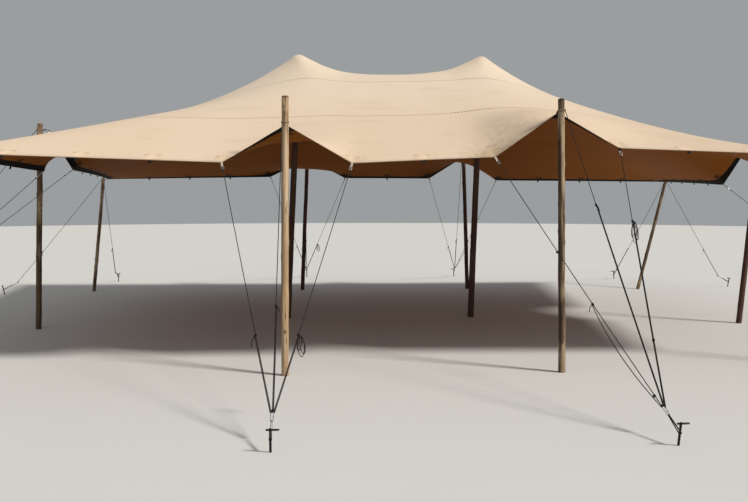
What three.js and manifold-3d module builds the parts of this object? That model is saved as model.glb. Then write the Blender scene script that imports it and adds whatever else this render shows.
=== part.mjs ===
// Stretch tent: one elastic sheet held up by two centre poles, six edge poles
// and four short corner poles, and pulled out by guy ropes to ground stakes.
// Units are millimetres. +X runs along the sheet, +Y to the back, +Z up.
// The origin is on the ground under the middle of the tent.

import * as THREE from 'three';
import { mergeVertices } from 'three/addons/utils/BufferGeometryUtils.js';
import Module from 'manifold-3d';

const wasm = await Module();
wasm.setup();

// The sheet as it is cut, and the net that stands for it
const SHEET_LENGTH = 10000;
const SHEET_WIDTH = 7500;
const PANEL_COUNT = 5;
const SHEET_THICKNESS = 8;
const LONG_EDGE_STEPS = 14;
const SHORT_EDGE_STEPS = 10;
const CELLS_PER_STEP = 2;
const HEAD_HALF_WIDTH = 60;
const PEAK_STEP = 2;

// How the fabric pulls: rest length against cut length, along the sheet, across
// it, on the bias and in the taped edge, and the stiffness of the bias and of
// the edge against that of the straight threads. The sheet is stretched hardest
// between the two peaks, less so out at the rim there, and lies easy at the right
const REST_ALONG = { left: 0.99, middle: 0.808, middleRim: 1.039, right: 1.158 };
const MIDDLE_ZONE = { full: 750, end: 2100 };
const RIM_ZONE = { start: 750, full: 2250 };
const REST_ACROSS = [[-2900, 1.032], [-1430, 1.053], [0, 0.938], [1430, 1.003], [2900, 1.085]];
const REST_BIAS = 0.995;
const REST_EDGE = 0.808;
const BIAS_STIFFNESS = 0.21;
const EDGE_STIFFNESS = 15000;
const RELAX_ROUNDS = 3000;
const RELAX_PUSH = 0.4;
const RELAX_MOMENTUM = 0.99;
const START_HEIGHT = 2900;

// Seams, hem and clearances
const FIT_GAP = 0.3;
const HEM_WIDTH = 80;
const HEM_THICKNESS = 3;

// Rigging points: steps along the edge from its middle, then where the point is held
const FRONT_RIGGING = [
  [-7, -4870, -3660, 2217],
  [-3, -2030, -3600, 2130],
  [-2, -1400, -3510, 2520],
  [-1, -730, -3600, 2125],
  [1, 720, -3600, 2190],
  [2, 1400, -3510, 2660],
  [3, 2010, -3600, 2285],
  [7, 4890, -3660, 2190],
];
const BACK_RIGGING = [
  [-7, -5290, 3600, 2159],
  [-3, -2170, 3500, 2200],
  [-2, -1440, 3390, 2560],
  [-1, -720, 3500, 2180],
  [1, 930, 3500, 2175],
  [2, 1600, 3390, 2600],
  [3, 2260, 3500, 2140],
  [7, 5620, 3560, 2119],
];
const LEFT_RIGGING = [
  [-2, -4580, -1500, 2110],
  [-1, -4800, -750, 2700],
  [0, -4740, 20, 2190],
];
const RIGHT_RIGGING = [
  [-2, 4980, -1500, 2030],
  [-1, 5040, -750, 2613],
  [0, 5020, 20, 1985],
];
const PEAK_HEIGHT = 3903;
const PEAK_LEFT_X = -1444;
const PEAK_RIGHT_X = 1281;

// Poles: foot, top and radius at the foot
const POLE_TAPER = 0.94;
const POLE_SIDES = 12;
const POLE_CHAMFER = 12;
const POLES = {
  front_left: { foot: [-1400, -3620], top: [-1400, -3620, 2795], radius: 38 },
  front_right: { foot: [1404, -3620], top: [1400, -3620, 2785], radius: 35 },
  back_left: { foot: [-1550, 3520], top: [-1445, 3500, 2790], radius: 38 },
  back_right: { foot: [1690, 3520], top: [1605, 3500, 2790], radius: 38 },
  side_left: { foot: [-4930, -750], top: [-4910, -750, 2790], radius: 38 },
  side_right: { foot: [4835, -750], top: [5160, -750, 2750], radius: 38 },
  centre_left: { foot: [-1610, 0], top: [PEAK_LEFT_X, 0, 3850], radius: 46 },
  centre_right: { foot: [1120, 0], top: [PEAK_RIGHT_X, 0, 3850], radius: 46 },
  corner_front_left: { foot: [-4900, -3710], top: [-4985, -3765, 2240], radius: 32 },
  corner_front_right: { foot: [4910, -3710], top: [5005, -3765, 2215], radius: 32 },
  corner_back_left: { foot: [-5530, 3480], top: [-5420, 3690, 2180], radius: 32 },
  corner_back_right: { foot: [5020, 3285], top: [5745, 3640, 2140], radius: 32 },
};

// The cap on a centre pole: a flat head that rounds over, above a short sleeve
const CAP_HEAD_RADIUS = 52;
const CAP_SHOULDER_RADIUS = 64;
const CAP_SHOULDER_DROP = 24;
const CAP_SIDES = 24;

// Ropes, collars, rings and stakes
const ROPE_RADIUS = 6;
const ROPE_SIDES = 8;
const STRAP_RADIUS = 9;
const TAB_LENGTH = 26;
const COLLAR_HEIGHT = 46;
const COLLAR_WALL = 12;
const RING_RADIUS = 30;
const ROPE_SPREAD = 14;
const RING_HEIGHT = 215;
const RING_SETBACK = 210;
const STAKE_SIDES = 8;
const STAKE_RADIUS = 14;
const STAKE_HEIGHT = 175;
const STAKE_LEAN = 38;
const STAKE_HEAD_RADIUS = 22;
const STAKE_HEAD_HEIGHT = 12;
const STAKE_COLLAR_HEIGHT = 34;
const STAKE_COLLAR_LOW = 26;

// Where each guy is staked, with the pole it serves
const EDGE_GUYS = {
  front_left: { pole: 'front_left', stake: [-1346, -5900], side: 'front', step: -2 },
  front_right: { pole: 'front_right', stake: [1555, -5900], side: 'front', step: 2 },
  back_left: { pole: 'back_left', stake: [-1560, 5900], side: 'back', step: -2 },
  back_right: { pole: 'back_right', stake: [1800, 5900], side: 'back', step: 2 },
  side_left: { pole: 'side_left', stake: [-7250, -750], side: 'left', step: -1 },
  side_right: { pole: 'side_right', stake: [7250, -750], side: 'right', step: -1 },
};
const CORNER_GUYS = {
  corner_front_left: { corner: ['front', -7], out: [-7000, -3300], end: [-5500, -5300] },
  corner_front_right: { corner: ['front', 7], out: [7000, -3300], end: [5500, -5300] },
  corner_back_left: { corner: ['back', -7], out: [-7000, 3000], end: [-5550, 5150] },
  corner_back_right: { corner: ['back', 7], out: [7000, 3600], end: [5250, 5150] },
};

const MATERIALS = {
  canopy: new THREE.MeshStandardMaterial({ color: 0xe6d2b4, roughness: 0.85, metalness: 0 }),
  hem: new THREE.MeshStandardMaterial({ color: 0x151413, roughness: 0.8, metalness: 0 }),
  pale_wood: new THREE.MeshStandardMaterial({ color: 0xb49468, roughness: 0.75, metalness: 0 }),
  dark_wood: new THREE.MeshStandardMaterial({ color: 0x6b4a30, roughness: 0.8, metalness: 0 }),
  cap: new THREE.MeshStandardMaterial({ color: 0x2a2725, roughness: 0.6, metalness: 0 }),
  rope: new THREE.MeshStandardMaterial({ color: 0x1b1a19, roughness: 0.9, metalness: 0 }),
  steel: new THREE.MeshStandardMaterial({ color: 0x2c2c2d, roughness: 0.5, metalness: 0.7 }),
};

// Positions of the net's lines across one side of the sheet: even cells, and
// lines round each pole head
function netLines(total, steps, heads) {
  const cells = steps * CELLS_PER_STEP;
  const lines = [];
  for (let k = 0; k <= cells; k += 1) {
    lines.push(-total / 2 + (total * k) / cells);
  }
  for (const head of heads) {
    lines.push(head - HEAD_HALF_WIDTH, head + HEAD_HALF_WIDTH);
  }
  return lines.sort((a, b) => a - b);
}

function nearestIndex(lines, value) {
  let best = 0;
  lines.forEach((line, index) => {
    if (Math.abs(line - value) < Math.abs(lines[best] - value)) {
      best = index;
    }
  });
  return best;
}

// Rest length against cut length along the sheet, at a place on it
function restAlong(u, v) {
  const { left, middle, middleRim, right } = REST_ALONG;
  const toRim = THREE.MathUtils.smoothstep(Math.abs(v), RIM_ZONE.start, RIM_ZONE.full);
  const inner = THREE.MathUtils.lerp(middle, middleRim, toRim);
  const out = (Math.abs(u) - MIDDLE_ZONE.full) / (MIDDLE_ZONE.end - MIDDLE_ZONE.full);
  return THREE.MathUtils.lerp(inner, u < 0 ? left : right, THREE.MathUtils.clamp(out, 0, 1));
}

// Rest length against cut length across the sheet, from its table
function restAcross(u) {
  const last = REST_ACROSS.length - 1;
  const above = REST_ACROSS.findIndex(([place]) => place > u);
  if (above <= 0) {
    return REST_ACROSS[above === 0 ? 0 : last][1];
  }
  const [low, from] = REST_ACROSS[above - 1];
  const [high, to] = REST_ACROSS[above];
  return THREE.MathUtils.mapLinear(u, low, high, from, to);
}

// A net of elastic threads that finds the shape of the sheet by relaxing
class FabricNet {
  constructor(uLines, vLines) {
    this.u = uLines;
    this.v = vLines;
    this.points = [];
    this.held = [];
    for (let i = 0; i < uLines.length; i += 1) {
      for (let j = 0; j < vLines.length; j += 1) {
        this.points.push(new THREE.Vector3(uLines[i], vLines[j], START_HEIGHT));
        this.held.push(false);
      }
    }
    this.links = [];
    this.addStraightLinks();
    this.addBiasLinks();
  }

  id(i, j) {
    return i * this.v.length + j;
  }

  at(i, j) {
    return this.points[this.id(i, j)];
  }

  hold(i, j, x, y, z) {
    this.at(i, j).set(x, y, z);
    this.held[this.id(i, j)] = true;
  }

  // Width of cloth that one line of the net stands for
  share(lines, k) {
    const below = k > 0 ? lines[k] - lines[k - 1] : 0;
    const above = k < lines.length - 1 ? lines[k + 1] - lines[k] : 0;
    return (below + above) / 2;
  }

  addLink(a, b, stiffness, rest) {
    this.links.push({ a, b, stiffness, rest });
  }

  addStraightLinks() {
    const lastU = this.u.length - 1;
    const lastV = this.v.length - 1;
    for (let i = 0; i <= lastU; i += 1) {
      for (let j = 0; j <= lastV; j += 1) {
        if (i < lastU) {
          const cut = this.u[i + 1] - this.u[i];
          const rest = cut * restAlong((this.u[i] + this.u[i + 1]) / 2, this.v[j]);
          this.addLink(this.id(i, j), this.id(i + 1, j), this.share(this.v, j), rest);
          if (j === 0 || j === lastV) {
            this.addLink(this.id(i, j), this.id(i + 1, j), EDGE_STIFFNESS, cut * REST_EDGE);
          }
        }
        if (j < lastV) {
          const cut = this.v[j + 1] - this.v[j];
          const rest = cut * restAcross(this.u[i]);
          this.addLink(this.id(i, j), this.id(i, j + 1), this.share(this.u, i), rest);
          if (i === 0 || i === lastU) {
            this.addLink(this.id(i, j), this.id(i, j + 1), EDGE_STIFFNESS, cut * REST_EDGE);
          }
        }
      }
    }
  }

  addBiasLinks() {
    for (let i = 0; i < this.u.length - 1; i += 1) {
      for (let j = 0; j < this.v.length - 1; j += 1) {
        const du = this.u[i + 1] - this.u[i];
        const dv = this.v[j + 1] - this.v[j];
        const stiffness = BIAS_STIFFNESS * Math.min(du, dv);
        const rest = Math.hypot(du, dv) * REST_BIAS;
        this.addLink(this.id(i, j), this.id(i + 1, j + 1), stiffness, rest);
        this.addLink(this.id(i + 1, j), this.id(i, j + 1), stiffness, rest);
      }
    }
  }

  // Moves every free point towards balance; slack threads pull nothing
  relax() {
    const pulls = this.points.map(() => new THREE.Vector3());
    const speeds = this.points.map(() => new THREE.Vector3());
    const firmness = this.points.map(() => 0);
    for (const link of this.links) {
      firmness[link.a] += link.stiffness / link.rest;
      firmness[link.b] += link.stiffness / link.rest;
    }
    const span = new THREE.Vector3();
    for (let round = 0; round < RELAX_ROUNDS; round += 1) {
      pulls.forEach((pull) => pull.set(0, 0, 0));
      for (const link of this.links) {
        span.subVectors(this.points[link.b], this.points[link.a]);
        const length = span.length();
        const strain = Math.max(0, length / link.rest - 1);
        span.multiplyScalar((link.stiffness * strain) / length);
        pulls[link.a].add(span);
        pulls[link.b].sub(span);
      }
      for (let k = 0; k < this.points.length; k += 1) {
        if (!this.held[k]) {
          speeds[k].multiplyScalar(RELAX_MOMENTUM);
          speeds[k].addScaledVector(pulls[k], RELAX_PUSH / firmness[k]);
          this.points[k].add(speeds[k]);
        }
      }
    }
  }

  normal(i, j) {
    const lastU = this.u.length - 1;
    const lastV = this.v.length - 1;
    const alongU = new THREE.Vector3();
    const alongV = new THREE.Vector3();
    alongU.subVectors(this.at(Math.min(i + 1, lastU), j), this.at(Math.max(i - 1, 0), j));
    alongV.subVectors(this.at(i, Math.min(j + 1, lastV)), this.at(i, Math.max(j - 1, 0)));
    return alongU.cross(alongV).normalize();
  }

  // Unit vectors from an edge point to the points beside it
  spokes(i, j) {
    const neighbours = [[i - 1, j], [i + 1, j], [i, j - 1], [i, j + 1]];
    const inside = neighbours.filter(
      ([a, b]) => a >= 0 && a < this.u.length && b >= 0 && b < this.v.length,
    );
    return inside.map(([a, b]) => this.at(a, b).clone().sub(this.at(i, j)).normalize());
  }

  // Unit vector in the sheet's own surface, pointing away from the cloth
  outward(i, j) {
    const sum = new THREE.Vector3();
    this.spokes(i, j).forEach((spoke) => sum.add(spoke));
    return sum.projectOnPlane(this.normal(i, j)).normalize().negate();
  }
}

const uPerStep = SHEET_LENGTH / LONG_EDGE_STEPS;
const vPerStep = SHEET_WIDTH / SHORT_EDGE_STEPS;
const PEAKS = [
  { u: -PEAK_STEP * uPerStep, x: PEAK_LEFT_X },
  { u: PEAK_STEP * uPerStep, x: PEAK_RIGHT_X },
];

function riggingIndex(net, side, step) {
  const alongLong = [nearestIndex(net.u, step * uPerStep), side === 'front' ? 0 : net.v.length - 1];
  const alongShort = [side === 'left' ? 0 : net.u.length - 1, nearestIndex(net.v, step * vPerStep)];
  return side === 'front' || side === 'back' ? alongLong : alongShort;
}

function makeNet() {
  const uLines = netLines(SHEET_LENGTH, LONG_EDGE_STEPS, PEAKS.map((peak) => peak.u));
  const vLines = netLines(SHEET_WIDTH, SHORT_EDGE_STEPS, [0]);
  const net = new FabricNet(uLines, vLines);
  const sides = { front: FRONT_RIGGING, back: BACK_RIGGING, left: LEFT_RIGGING, right: RIGHT_RIGGING };
  for (const [side, points] of Object.entries(sides)) {
    for (const [step, x, y, z] of points) {
      net.hold(...riggingIndex(net, side, step), x, y, z);
    }
  }
  const middle = nearestIndex(net.v, 0);
  for (const peak of PEAKS) {
    const centre = nearestIndex(net.u, peak.u);
    for (let a = -1; a <= 1; a += 1) {
      for (let b = -1; b <= 1; b += 1) {
        const x = peak.x + a * HEAD_HALF_WIDTH;
        net.hold(centre + a, middle + b, x, b * HEAD_HALF_WIDTH, PEAK_HEIGHT);
      }
    }
  }
  net.relax();
  return withHemLines(net);
}

// The same surface with one more line along each side, at the inner edge of the hem
function withHemLines(net) {
  const hemmed = (lines) => {
    const last = lines.length - 1;
    return [lines[0], lines[0] + HEM_WIDTH, ...lines.slice(1, last), lines[last] - HEM_WIDTH, lines[last]];
  };
  const finer = new FabricNet(hemmed(net.u), hemmed(net.v));
  const place = (lines, value) => {
    const above = Math.max(1, lines.findIndex((line) => line >= value));
    return [above, (value - lines[above - 1]) / (lines[above] - lines[above - 1])];
  };
  finer.u.forEach((u, i) => {
    const [a, s] = place(net.u, u);
    finer.v.forEach((v, j) => {
      const [b, t] = place(net.v, v);
      const near = net.at(a - 1, b - 1).clone().lerp(net.at(a, b - 1), s);
      const far = net.at(a - 1, b).clone().lerp(net.at(a, b), s);
      finer.at(i, j).copy(near.lerp(far, t));
    });
  });
  return finer;
}

// A closed solid over a set of net cells, between two offsets from the sheet's
// middle surface; nudge shifts a net point along the sheet, to open the seams
function sheetSolid(net, cells, upper, lower, nudge) {
  const positions = [];
  const indices = [];
  const layerIds = new Map();
  const key = (i, j) => `${i},${j}`;
  const vertex = (i, j, offset) => {
    const name = `${i},${j},${offset}`;
    if (!layerIds.has(name)) {
      const point = net.at(i, j).clone().addScaledVector(net.normal(i, j), offset).add(nudge(i, j));
      layerIds.set(name, positions.length / 3);
      positions.push(point.x, point.y, point.z);
    }
    return layerIds.get(name);
  };
  const filled = new Set(cells.map(([i, j]) => key(i, j)));
  const wall = (from, to) => {
    const a = vertex(...from, lower);
    const b = vertex(...to, lower);
    const c = vertex(...to, upper);
    const d = vertex(...from, upper);
    // Both sides of a seam split their walls along the same diagonal
    if (net.id(...from) < net.id(...to)) {
      indices.push(a, b, c, a, c, d);
    } else {
      indices.push(a, b, d, b, c, d);
    }
  };
  for (const [i, j] of cells) {
    const corners = [[i, j], [i + 1, j], [i + 1, j + 1], [i, j + 1]];
    const [a, b, c, d] = corners.map((corner) => vertex(...corner, upper));
    const [e, f, g, h] = corners.map((corner) => vertex(...corner, lower));
    indices.push(a, b, c, a, c, d, e, g, f, e, h, g);
    const beyond = [[i, j - 1], [i + 1, j], [i, j + 1], [i - 1, j]];
    beyond.forEach((cell, side) => {
      if (!filled.has(key(...cell))) {
        wall(corners[side], corners[(side + 1) % 4]);
      }
    });
  }
  const geometry = new THREE.BufferGeometry();
  geometry.setAttribute('position', new THREE.Float32BufferAttribute(positions, 3));
  geometry.setIndex(indices);
  geometry.computeVertexNormals();
  return geometry;
}

function panelGeometry(net, panel) {
  const width = SHEET_WIDTH / PANEL_COUNT;
  const first = nearestIndex(net.v, -SHEET_WIDTH / 2 + panel * width);
  const last = nearestIndex(net.v, -SHEET_WIDTH / 2 + (panel + 1) * width);
  const cells = [];
  for (let i = 0; i < net.u.length - 1; i += 1) {
    for (let j = first; j < last; j += 1) {
      cells.push([i, j]);
    }
  }
  const nudge = (i, j) => {
    const shift = new THREE.Vector3();
    if (j === first && panel > 0) {
      shift.subVectors(net.at(i, j + 1), net.at(i, j)).setLength(FIT_GAP / 2);
    }
    if (j === last && panel < PANEL_COUNT - 1) {
      shift.subVectors(net.at(i, j - 1), net.at(i, j)).setLength(FIT_GAP / 2);
    }
    return shift;
  };
  return sheetSolid(net, cells, SHEET_THICKNESS / 2, -SHEET_THICKNESS / 2, nudge);
}

// The dark tape under the edge, all the way round
function hemGeometry(net) {
  const lastU = net.u.length - 2;
  const lastV = net.v.length - 2;
  const cells = [];
  for (let i = 0; i <= lastU; i += 1) {
    for (let j = 0; j <= lastV; j += 1) {
      if (i === 0 || j === 0 || i === lastU || j === lastV) {
        cells.push([i, j]);
      }
    }
  }
  const upper = -SHEET_THICKNESS / 2 - FIT_GAP;
  return sheetSolid(net, cells, upper, upper - HEM_THICKNESS, () => new THREE.Vector3());
}

// Point on a pole's axis at a height
function axisPoint(pole, height) {
  const [x, y] = pole.foot;
  const share = height / pole.top[2];
  return new THREE.Vector3(x + (pole.top[0] - x) * share, y + (pole.top[1] - y) * share, height);
}

function radiusAt(pole, height) {
  const taper = pole.taper ?? POLE_TAPER;
  return pole.radius * (1 - (1 - taper) * (height / pole.top[2]));
}

// Leans upright geometry along a pole: level rings stay level, so the foot stays flat
function leanWith(geometry, pole) {
  const slopeX = (pole.top[0] - pole.foot[0]) / pole.top[2];
  const slopeY = (pole.top[1] - pole.foot[1]) / pole.top[2];
  const lean = new THREE.Matrix4().makeShear(0, 0, 0, 0, slopeX, slopeY);
  const place = new THREE.Matrix4().makeTranslation(pole.foot[0], pole.foot[1], 0);
  return geometry.applyMatrix4(lean).applyMatrix4(place);
}

// Turns a profile of [radius, height] pairs round the upright axis
function turned(profile, sides) {
  const points = profile.map(([radius, height]) => new THREE.Vector2(radius, height));
  return new THREE.LatheGeometry(points, sides).rotateX(Math.PI / 2);
}

function poleGeometry(pole) {
  const height = pole.top[2];
  const topRadius = pole.radius * POLE_TAPER;
  const profile = [
    [0, 0],
    [pole.radius, 0],
    [topRadius, height - POLE_CHAMFER],
    [topRadius - POLE_CHAMFER, height],
    [0, height],
  ];
  return leanWith(turned(profile, POLE_SIDES), pole);
}

function capGeometry(pole) {
  const head = PEAK_HEIGHT - SHEET_THICKNESS / 2 - FIT_GAP;
  const seat = pole.top[2] + FIT_GAP;
  const profile = [
    [0, seat],
    [pole.radius, seat],
    [CAP_SHOULDER_RADIUS, head - CAP_SHOULDER_DROP],
    [CAP_HEAD_RADIUS, head],
    [0, head],
  ];
  return turned(profile, CAP_SIDES).translate(pole.top[0], pole.top[1], 0);
}

function solidOf(geometry) {
  const bare = geometry.clone();
  bare.deleteAttribute('normal');
  bare.deleteAttribute('uv');
  const merged = mergeVertices(bare, 1e-3);
  const vertProperties = new Float32Array(merged.attributes.position.array);
  const triVerts = new Uint32Array(merged.index.array);
  return new wasm.Manifold(new wasm.Mesh({ numProp: 3, vertProperties, triVerts }));
}

function geometryOf(solid) {
  const mesh = solid.getMesh();
  const geometry = new THREE.BufferGeometry();
  geometry.setAttribute('position', new THREE.BufferAttribute(mesh.vertProperties, 3));
  geometry.setIndex(new THREE.BufferAttribute(mesh.triVerts, 1));
  geometry.computeVertexNormals();
  return geometry;
}

function joined(geometries) {
  const solids = geometries.map(solidOf);
  return geometryOf(solids.reduce((whole, next) => whole.add(next)));
}

function rodBetween(from, to, radius, sides) {
  const direction = new THREE.Vector3().subVectors(to, from);
  const rod = new THREE.CylinderGeometry(radius, radius, direction.length(), sides);
  const turn = new THREE.Quaternion();
  turn.setFromUnitVectors(new THREE.Vector3(0, 1, 0), direction.normalize());
  const middle = new THREE.Vector3().addVectors(from, to).multiplyScalar(0.5);
  return rod.applyQuaternion(turn).translate(middle.x, middle.y, middle.z);
}

function knotAt(point, radius) {
  return new THREE.IcosahedronGeometry(radius, 0).translate(point.x, point.y, point.z);
}

// A band round a pole or stake, from one height to another, clear of its surface
function collarGeometry(pole, low, high, sides) {
  const inner = radiusAt(pole, low) + FIT_GAP / Math.cos(Math.PI / sides);
  const outer = inner + COLLAR_WALL;
  const profile = [[inner, low], [outer, low], [outer, high], [inner, high], [inner, low]];
  return leanWith(turned(profile, sides), pole);
}

// The webbing tab at a rigging point: it faces the edge of the cloth squarely,
// and stands off far enough to clear edges that run on past it
function edgeTab(net, index) {
  const outward = net.outward(...index);
  const lean = Math.max(0, ...net.spokes(...index).map((spoke) => spoke.dot(outward)));
  const standOff = (FIT_GAP + STRAP_RADIUS * lean) / Math.sqrt(1 - lean ** 2);
  const root = net.at(...index).clone().addScaledVector(outward, standOff);
  const end = root.clone().addScaledVector(outward, TAB_LENGTH);
  return { end, pieces: [rodBetween(root, end, STRAP_RADIUS, ROPE_SIDES), knotAt(end, STRAP_RADIUS)] };
}

// Stakes lean away from the tent
function stakeShape([x, y], fromX, fromY) {
  const away = new THREE.Vector2(x - fromX, y - fromY).setLength(STAKE_LEAN);
  const top = [x + away.x, y + away.y, STAKE_HEIGHT];
  return { foot: [x, y], top, radius: STAKE_RADIUS, taper: 1 };
}

function stakeGeometry(stake) {
  const neck = STAKE_HEIGHT - STAKE_HEAD_HEIGHT;
  const profile = [
    [0, 0],
    [STAKE_RADIUS, 0],
    [STAKE_RADIUS, neck],
    [STAKE_HEAD_RADIUS, neck],
    [STAKE_HEAD_RADIUS, STAKE_HEIGHT],
    [0, STAKE_HEIGHT],
  ];
  return leanWith(turned(profile, STAKE_SIDES), stake);
}

// The knot that ropes end in, near the stake, and the strap on to the stake;
// across is how far a side rope lands from the knot's middle
function stakeEnd(stake, fromX, fromY) {
  const back = new THREE.Vector2(fromX - stake.foot[0], fromY - stake.foot[1]).setLength(RING_SETBACK);
  const ring = new THREE.Vector3(stake.foot[0] + back.x, stake.foot[1] + back.y, RING_HEIGHT);
  const across = new THREE.Vector3(back.y, -back.x, 0).setLength(ROPE_SPREAD);
  const low = STAKE_COLLAR_LOW;
  const high = low + STAKE_COLLAR_HEIGHT;
  const grip = axisPoint(stake, (low + high) / 2);
  const towards = new THREE.Vector3().subVectors(ring, grip).setLength(STAKE_RADIUS + COLLAR_WALL / 2);
  const strap = rodBetween(grip.clone().add(towards), ring, STRAP_RADIUS, ROPE_SIDES);
  const collar = collarGeometry(stake, low, high, STAKE_SIDES);
  return { ring, across, pieces: [collar, strap, knotAt(ring, RING_RADIUS)] };
}

// Ropes from the raised point and the two low points beside it to one stake
function edgeGuyGeometry(net, guy, stake) {
  const pole = POLES[guy.pole];
  const raised = edgeTab(net, riggingIndex(net, guy.side, guy.step));
  const low = raised.end.z - COLLAR_HEIGHT / 2;
  const end = stakeEnd(stake, pole.foot[0], pole.foot[1]);
  const axis = axisPoint(pole, raised.end.z);
  const reach = pole.radius + COLLAR_WALL / 2;
  const inward = new THREE.Vector3().subVectors(raised.end, axis).setLength(reach);
  const outwards = new THREE.Vector3().subVectors(end.ring, axis).setZ(0).setLength(reach);
  const pieces = [
    ...end.pieces,
    ...raised.pieces,
    collarGeometry(pole, low, low + COLLAR_HEIGHT, POLE_SIDES),
    rodBetween(raised.end, axis.clone().add(inward), STRAP_RADIUS, ROPE_SIDES),
    rodBetween(axis.clone().add(outwards), end.ring, ROPE_RADIUS, ROPE_SIDES),
  ];
  for (const step of [guy.step - 1, guy.step + 1]) {
    const tab = edgeTab(net, riggingIndex(net, guy.side, step));
    const side = Math.sign(new THREE.Vector3().subVectors(tab.end, end.ring).dot(end.across));
    const landing = end.ring.clone().addScaledVector(end.across, side);
    pieces.push(...tab.pieces, rodBetween(tab.end, landing, ROPE_RADIUS, ROPE_SIDES));
  }
  return joined(pieces);
}

// A collar near the top of a corner pole, tied to the sheet, with two ropes down
function cornerGuyGeometry(net, guy, pole, stakes) {
  const corner = edgeTab(net, riggingIndex(net, ...guy.corner));
  const high = Math.min(corner.end.z + COLLAR_HEIGHT / 2, pole.top[2] - POLE_CHAMFER);
  const low = high - COLLAR_HEIGHT;
  const axis = axisPoint(pole, (low + high) / 2);
  const reach = pole.radius + COLLAR_WALL / 2;
  const inward = new THREE.Vector3().subVectors(corner.end, axis).setLength(reach);
  const pieces = [
    ...corner.pieces,
    collarGeometry(pole, low, high, POLE_SIDES),
    rodBetween(corner.end, axis.clone().add(inward), STRAP_RADIUS, ROPE_SIDES),
  ];
  for (const stake of stakes) {
    const end = stakeEnd(stake, pole.foot[0], pole.foot[1]);
    const outwards = new THREE.Vector3().subVectors(end.ring, axis).setZ(0).setLength(reach);
    pieces.push(...end.pieces);
    pieces.push(rodBetween(axis.clone().add(outwards), end.ring, ROPE_RADIUS, ROPE_SIDES));
  }
  return joined(pieces);
}

const tent = new THREE.Group();

function addPiece(name, geometry, material) {
  const mesh = new THREE.Mesh(geometry, material);
  mesh.name = name;
  tent.add(mesh);
}

function addCanopy(net) {
  for (let panel = 0; panel < PANEL_COUNT; panel += 1) {
    addPiece(`canopy_panel_${panel + 1}`, panelGeometry(net, panel), MATERIALS.canopy);
  }
  addPiece('hem_band', hemGeometry(net), MATERIALS.hem);
}

function addPoles() {
  for (const [name, pole] of Object.entries(POLES)) {
    const wood = name.startsWith('front') ? MATERIALS.pale_wood : MATERIALS.dark_wood;
    addPiece(`pole_${name}`, poleGeometry(pole), wood);
  }
  addPiece('pole_cap_left', capGeometry(POLES.centre_left), MATERIALS.cap);
  addPiece('pole_cap_right', capGeometry(POLES.centre_right), MATERIALS.cap);
}

function addEdgeGuys(net) {
  for (const [name, guy] of Object.entries(EDGE_GUYS)) {
    const [x, y] = POLES[guy.pole].foot;
    const stake = stakeShape(guy.stake, x, y);
    addPiece(`guy_${name}`, edgeGuyGeometry(net, guy, stake), MATERIALS.rope);
    addPiece(`stake_${name}`, stakeGeometry(stake), MATERIALS.steel);
  }
}

function addCornerGuys(net) {
  for (const [name, guy] of Object.entries(CORNER_GUYS)) {
    const pole = POLES[name];
    const stakes = [guy.out, guy.end].map((foot) => stakeShape(foot, pole.foot[0], pole.foot[1]));
    addPiece(`guy_${name}`, cornerGuyGeometry(net, guy, pole, stakes), MATERIALS.rope);
    addPiece(`stake_${name}_out`, stakeGeometry(stakes[0]), MATERIALS.steel);
    addPiece(`stake_${name}_end`, stakeGeometry(stakes[1]), MATERIALS.steel);
  }
}

const net = makeNet();
addCanopy(net);
addPoles();
addEdgeGuys(net);
addCornerGuys(net);

export default tent;
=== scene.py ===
import logging
import math
import random
from collections.abc import Callable, Iterable, Iterator, Sequence
from dataclasses import dataclass, field
from enum import Enum
from typing import Any, ClassVar

import bmesh
import bpy
import numpy as np
from mathutils import Matrix, Vector


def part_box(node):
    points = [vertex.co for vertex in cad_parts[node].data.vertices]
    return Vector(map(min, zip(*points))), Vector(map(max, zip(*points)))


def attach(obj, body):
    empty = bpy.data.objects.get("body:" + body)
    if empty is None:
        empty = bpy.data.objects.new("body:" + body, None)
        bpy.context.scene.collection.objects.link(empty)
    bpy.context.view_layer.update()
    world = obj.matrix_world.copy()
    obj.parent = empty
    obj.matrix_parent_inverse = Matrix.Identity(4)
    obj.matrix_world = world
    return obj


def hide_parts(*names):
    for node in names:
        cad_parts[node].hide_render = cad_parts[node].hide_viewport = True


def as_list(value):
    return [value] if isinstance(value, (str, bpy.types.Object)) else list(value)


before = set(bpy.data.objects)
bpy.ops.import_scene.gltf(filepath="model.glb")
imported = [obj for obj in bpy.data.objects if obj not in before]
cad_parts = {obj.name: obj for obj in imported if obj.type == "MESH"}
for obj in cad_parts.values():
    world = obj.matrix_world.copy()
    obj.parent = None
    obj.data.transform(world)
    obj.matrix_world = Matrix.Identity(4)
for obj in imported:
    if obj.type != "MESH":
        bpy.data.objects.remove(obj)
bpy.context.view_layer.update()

LOG = logging.getLogger("stretch_tent")
BODY = "root"
GAP = 0.0003
MERGE = 0.00001
UP = Vector((0, 0, 1))

Object = bpy.types.Object
Material = bpy.types.Material
Triple = tuple[float, float, float]
StainsAndShade = tuple[tuple[float, float, float, float, float], ...]
KNIT: Triple = (420.0, 900.0, 1.0)


class Pick(Enum):
    """What is selected in edit mode."""

    VERT = "VERT"
    EDGE = "EDGE"
    FACE = "FACE"


class Side(Enum):
    """The four sides of the cloth."""

    FRONT = "front"
    BACK = "back"
    LEFT = "left"
    RIGHT = "right"


class Slot(Enum):
    """The record's material slots."""

    CANOPY = "canopy_fabric"
    HEM = "hem_tape"
    PALE_WOOD = "pale_pole_wood"
    DARK_WOOD = "dark_pole_wood"
    CAP = "pole_cap"
    ROPE = "guy_rope"
    STEEL = "stake_steel"


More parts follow.
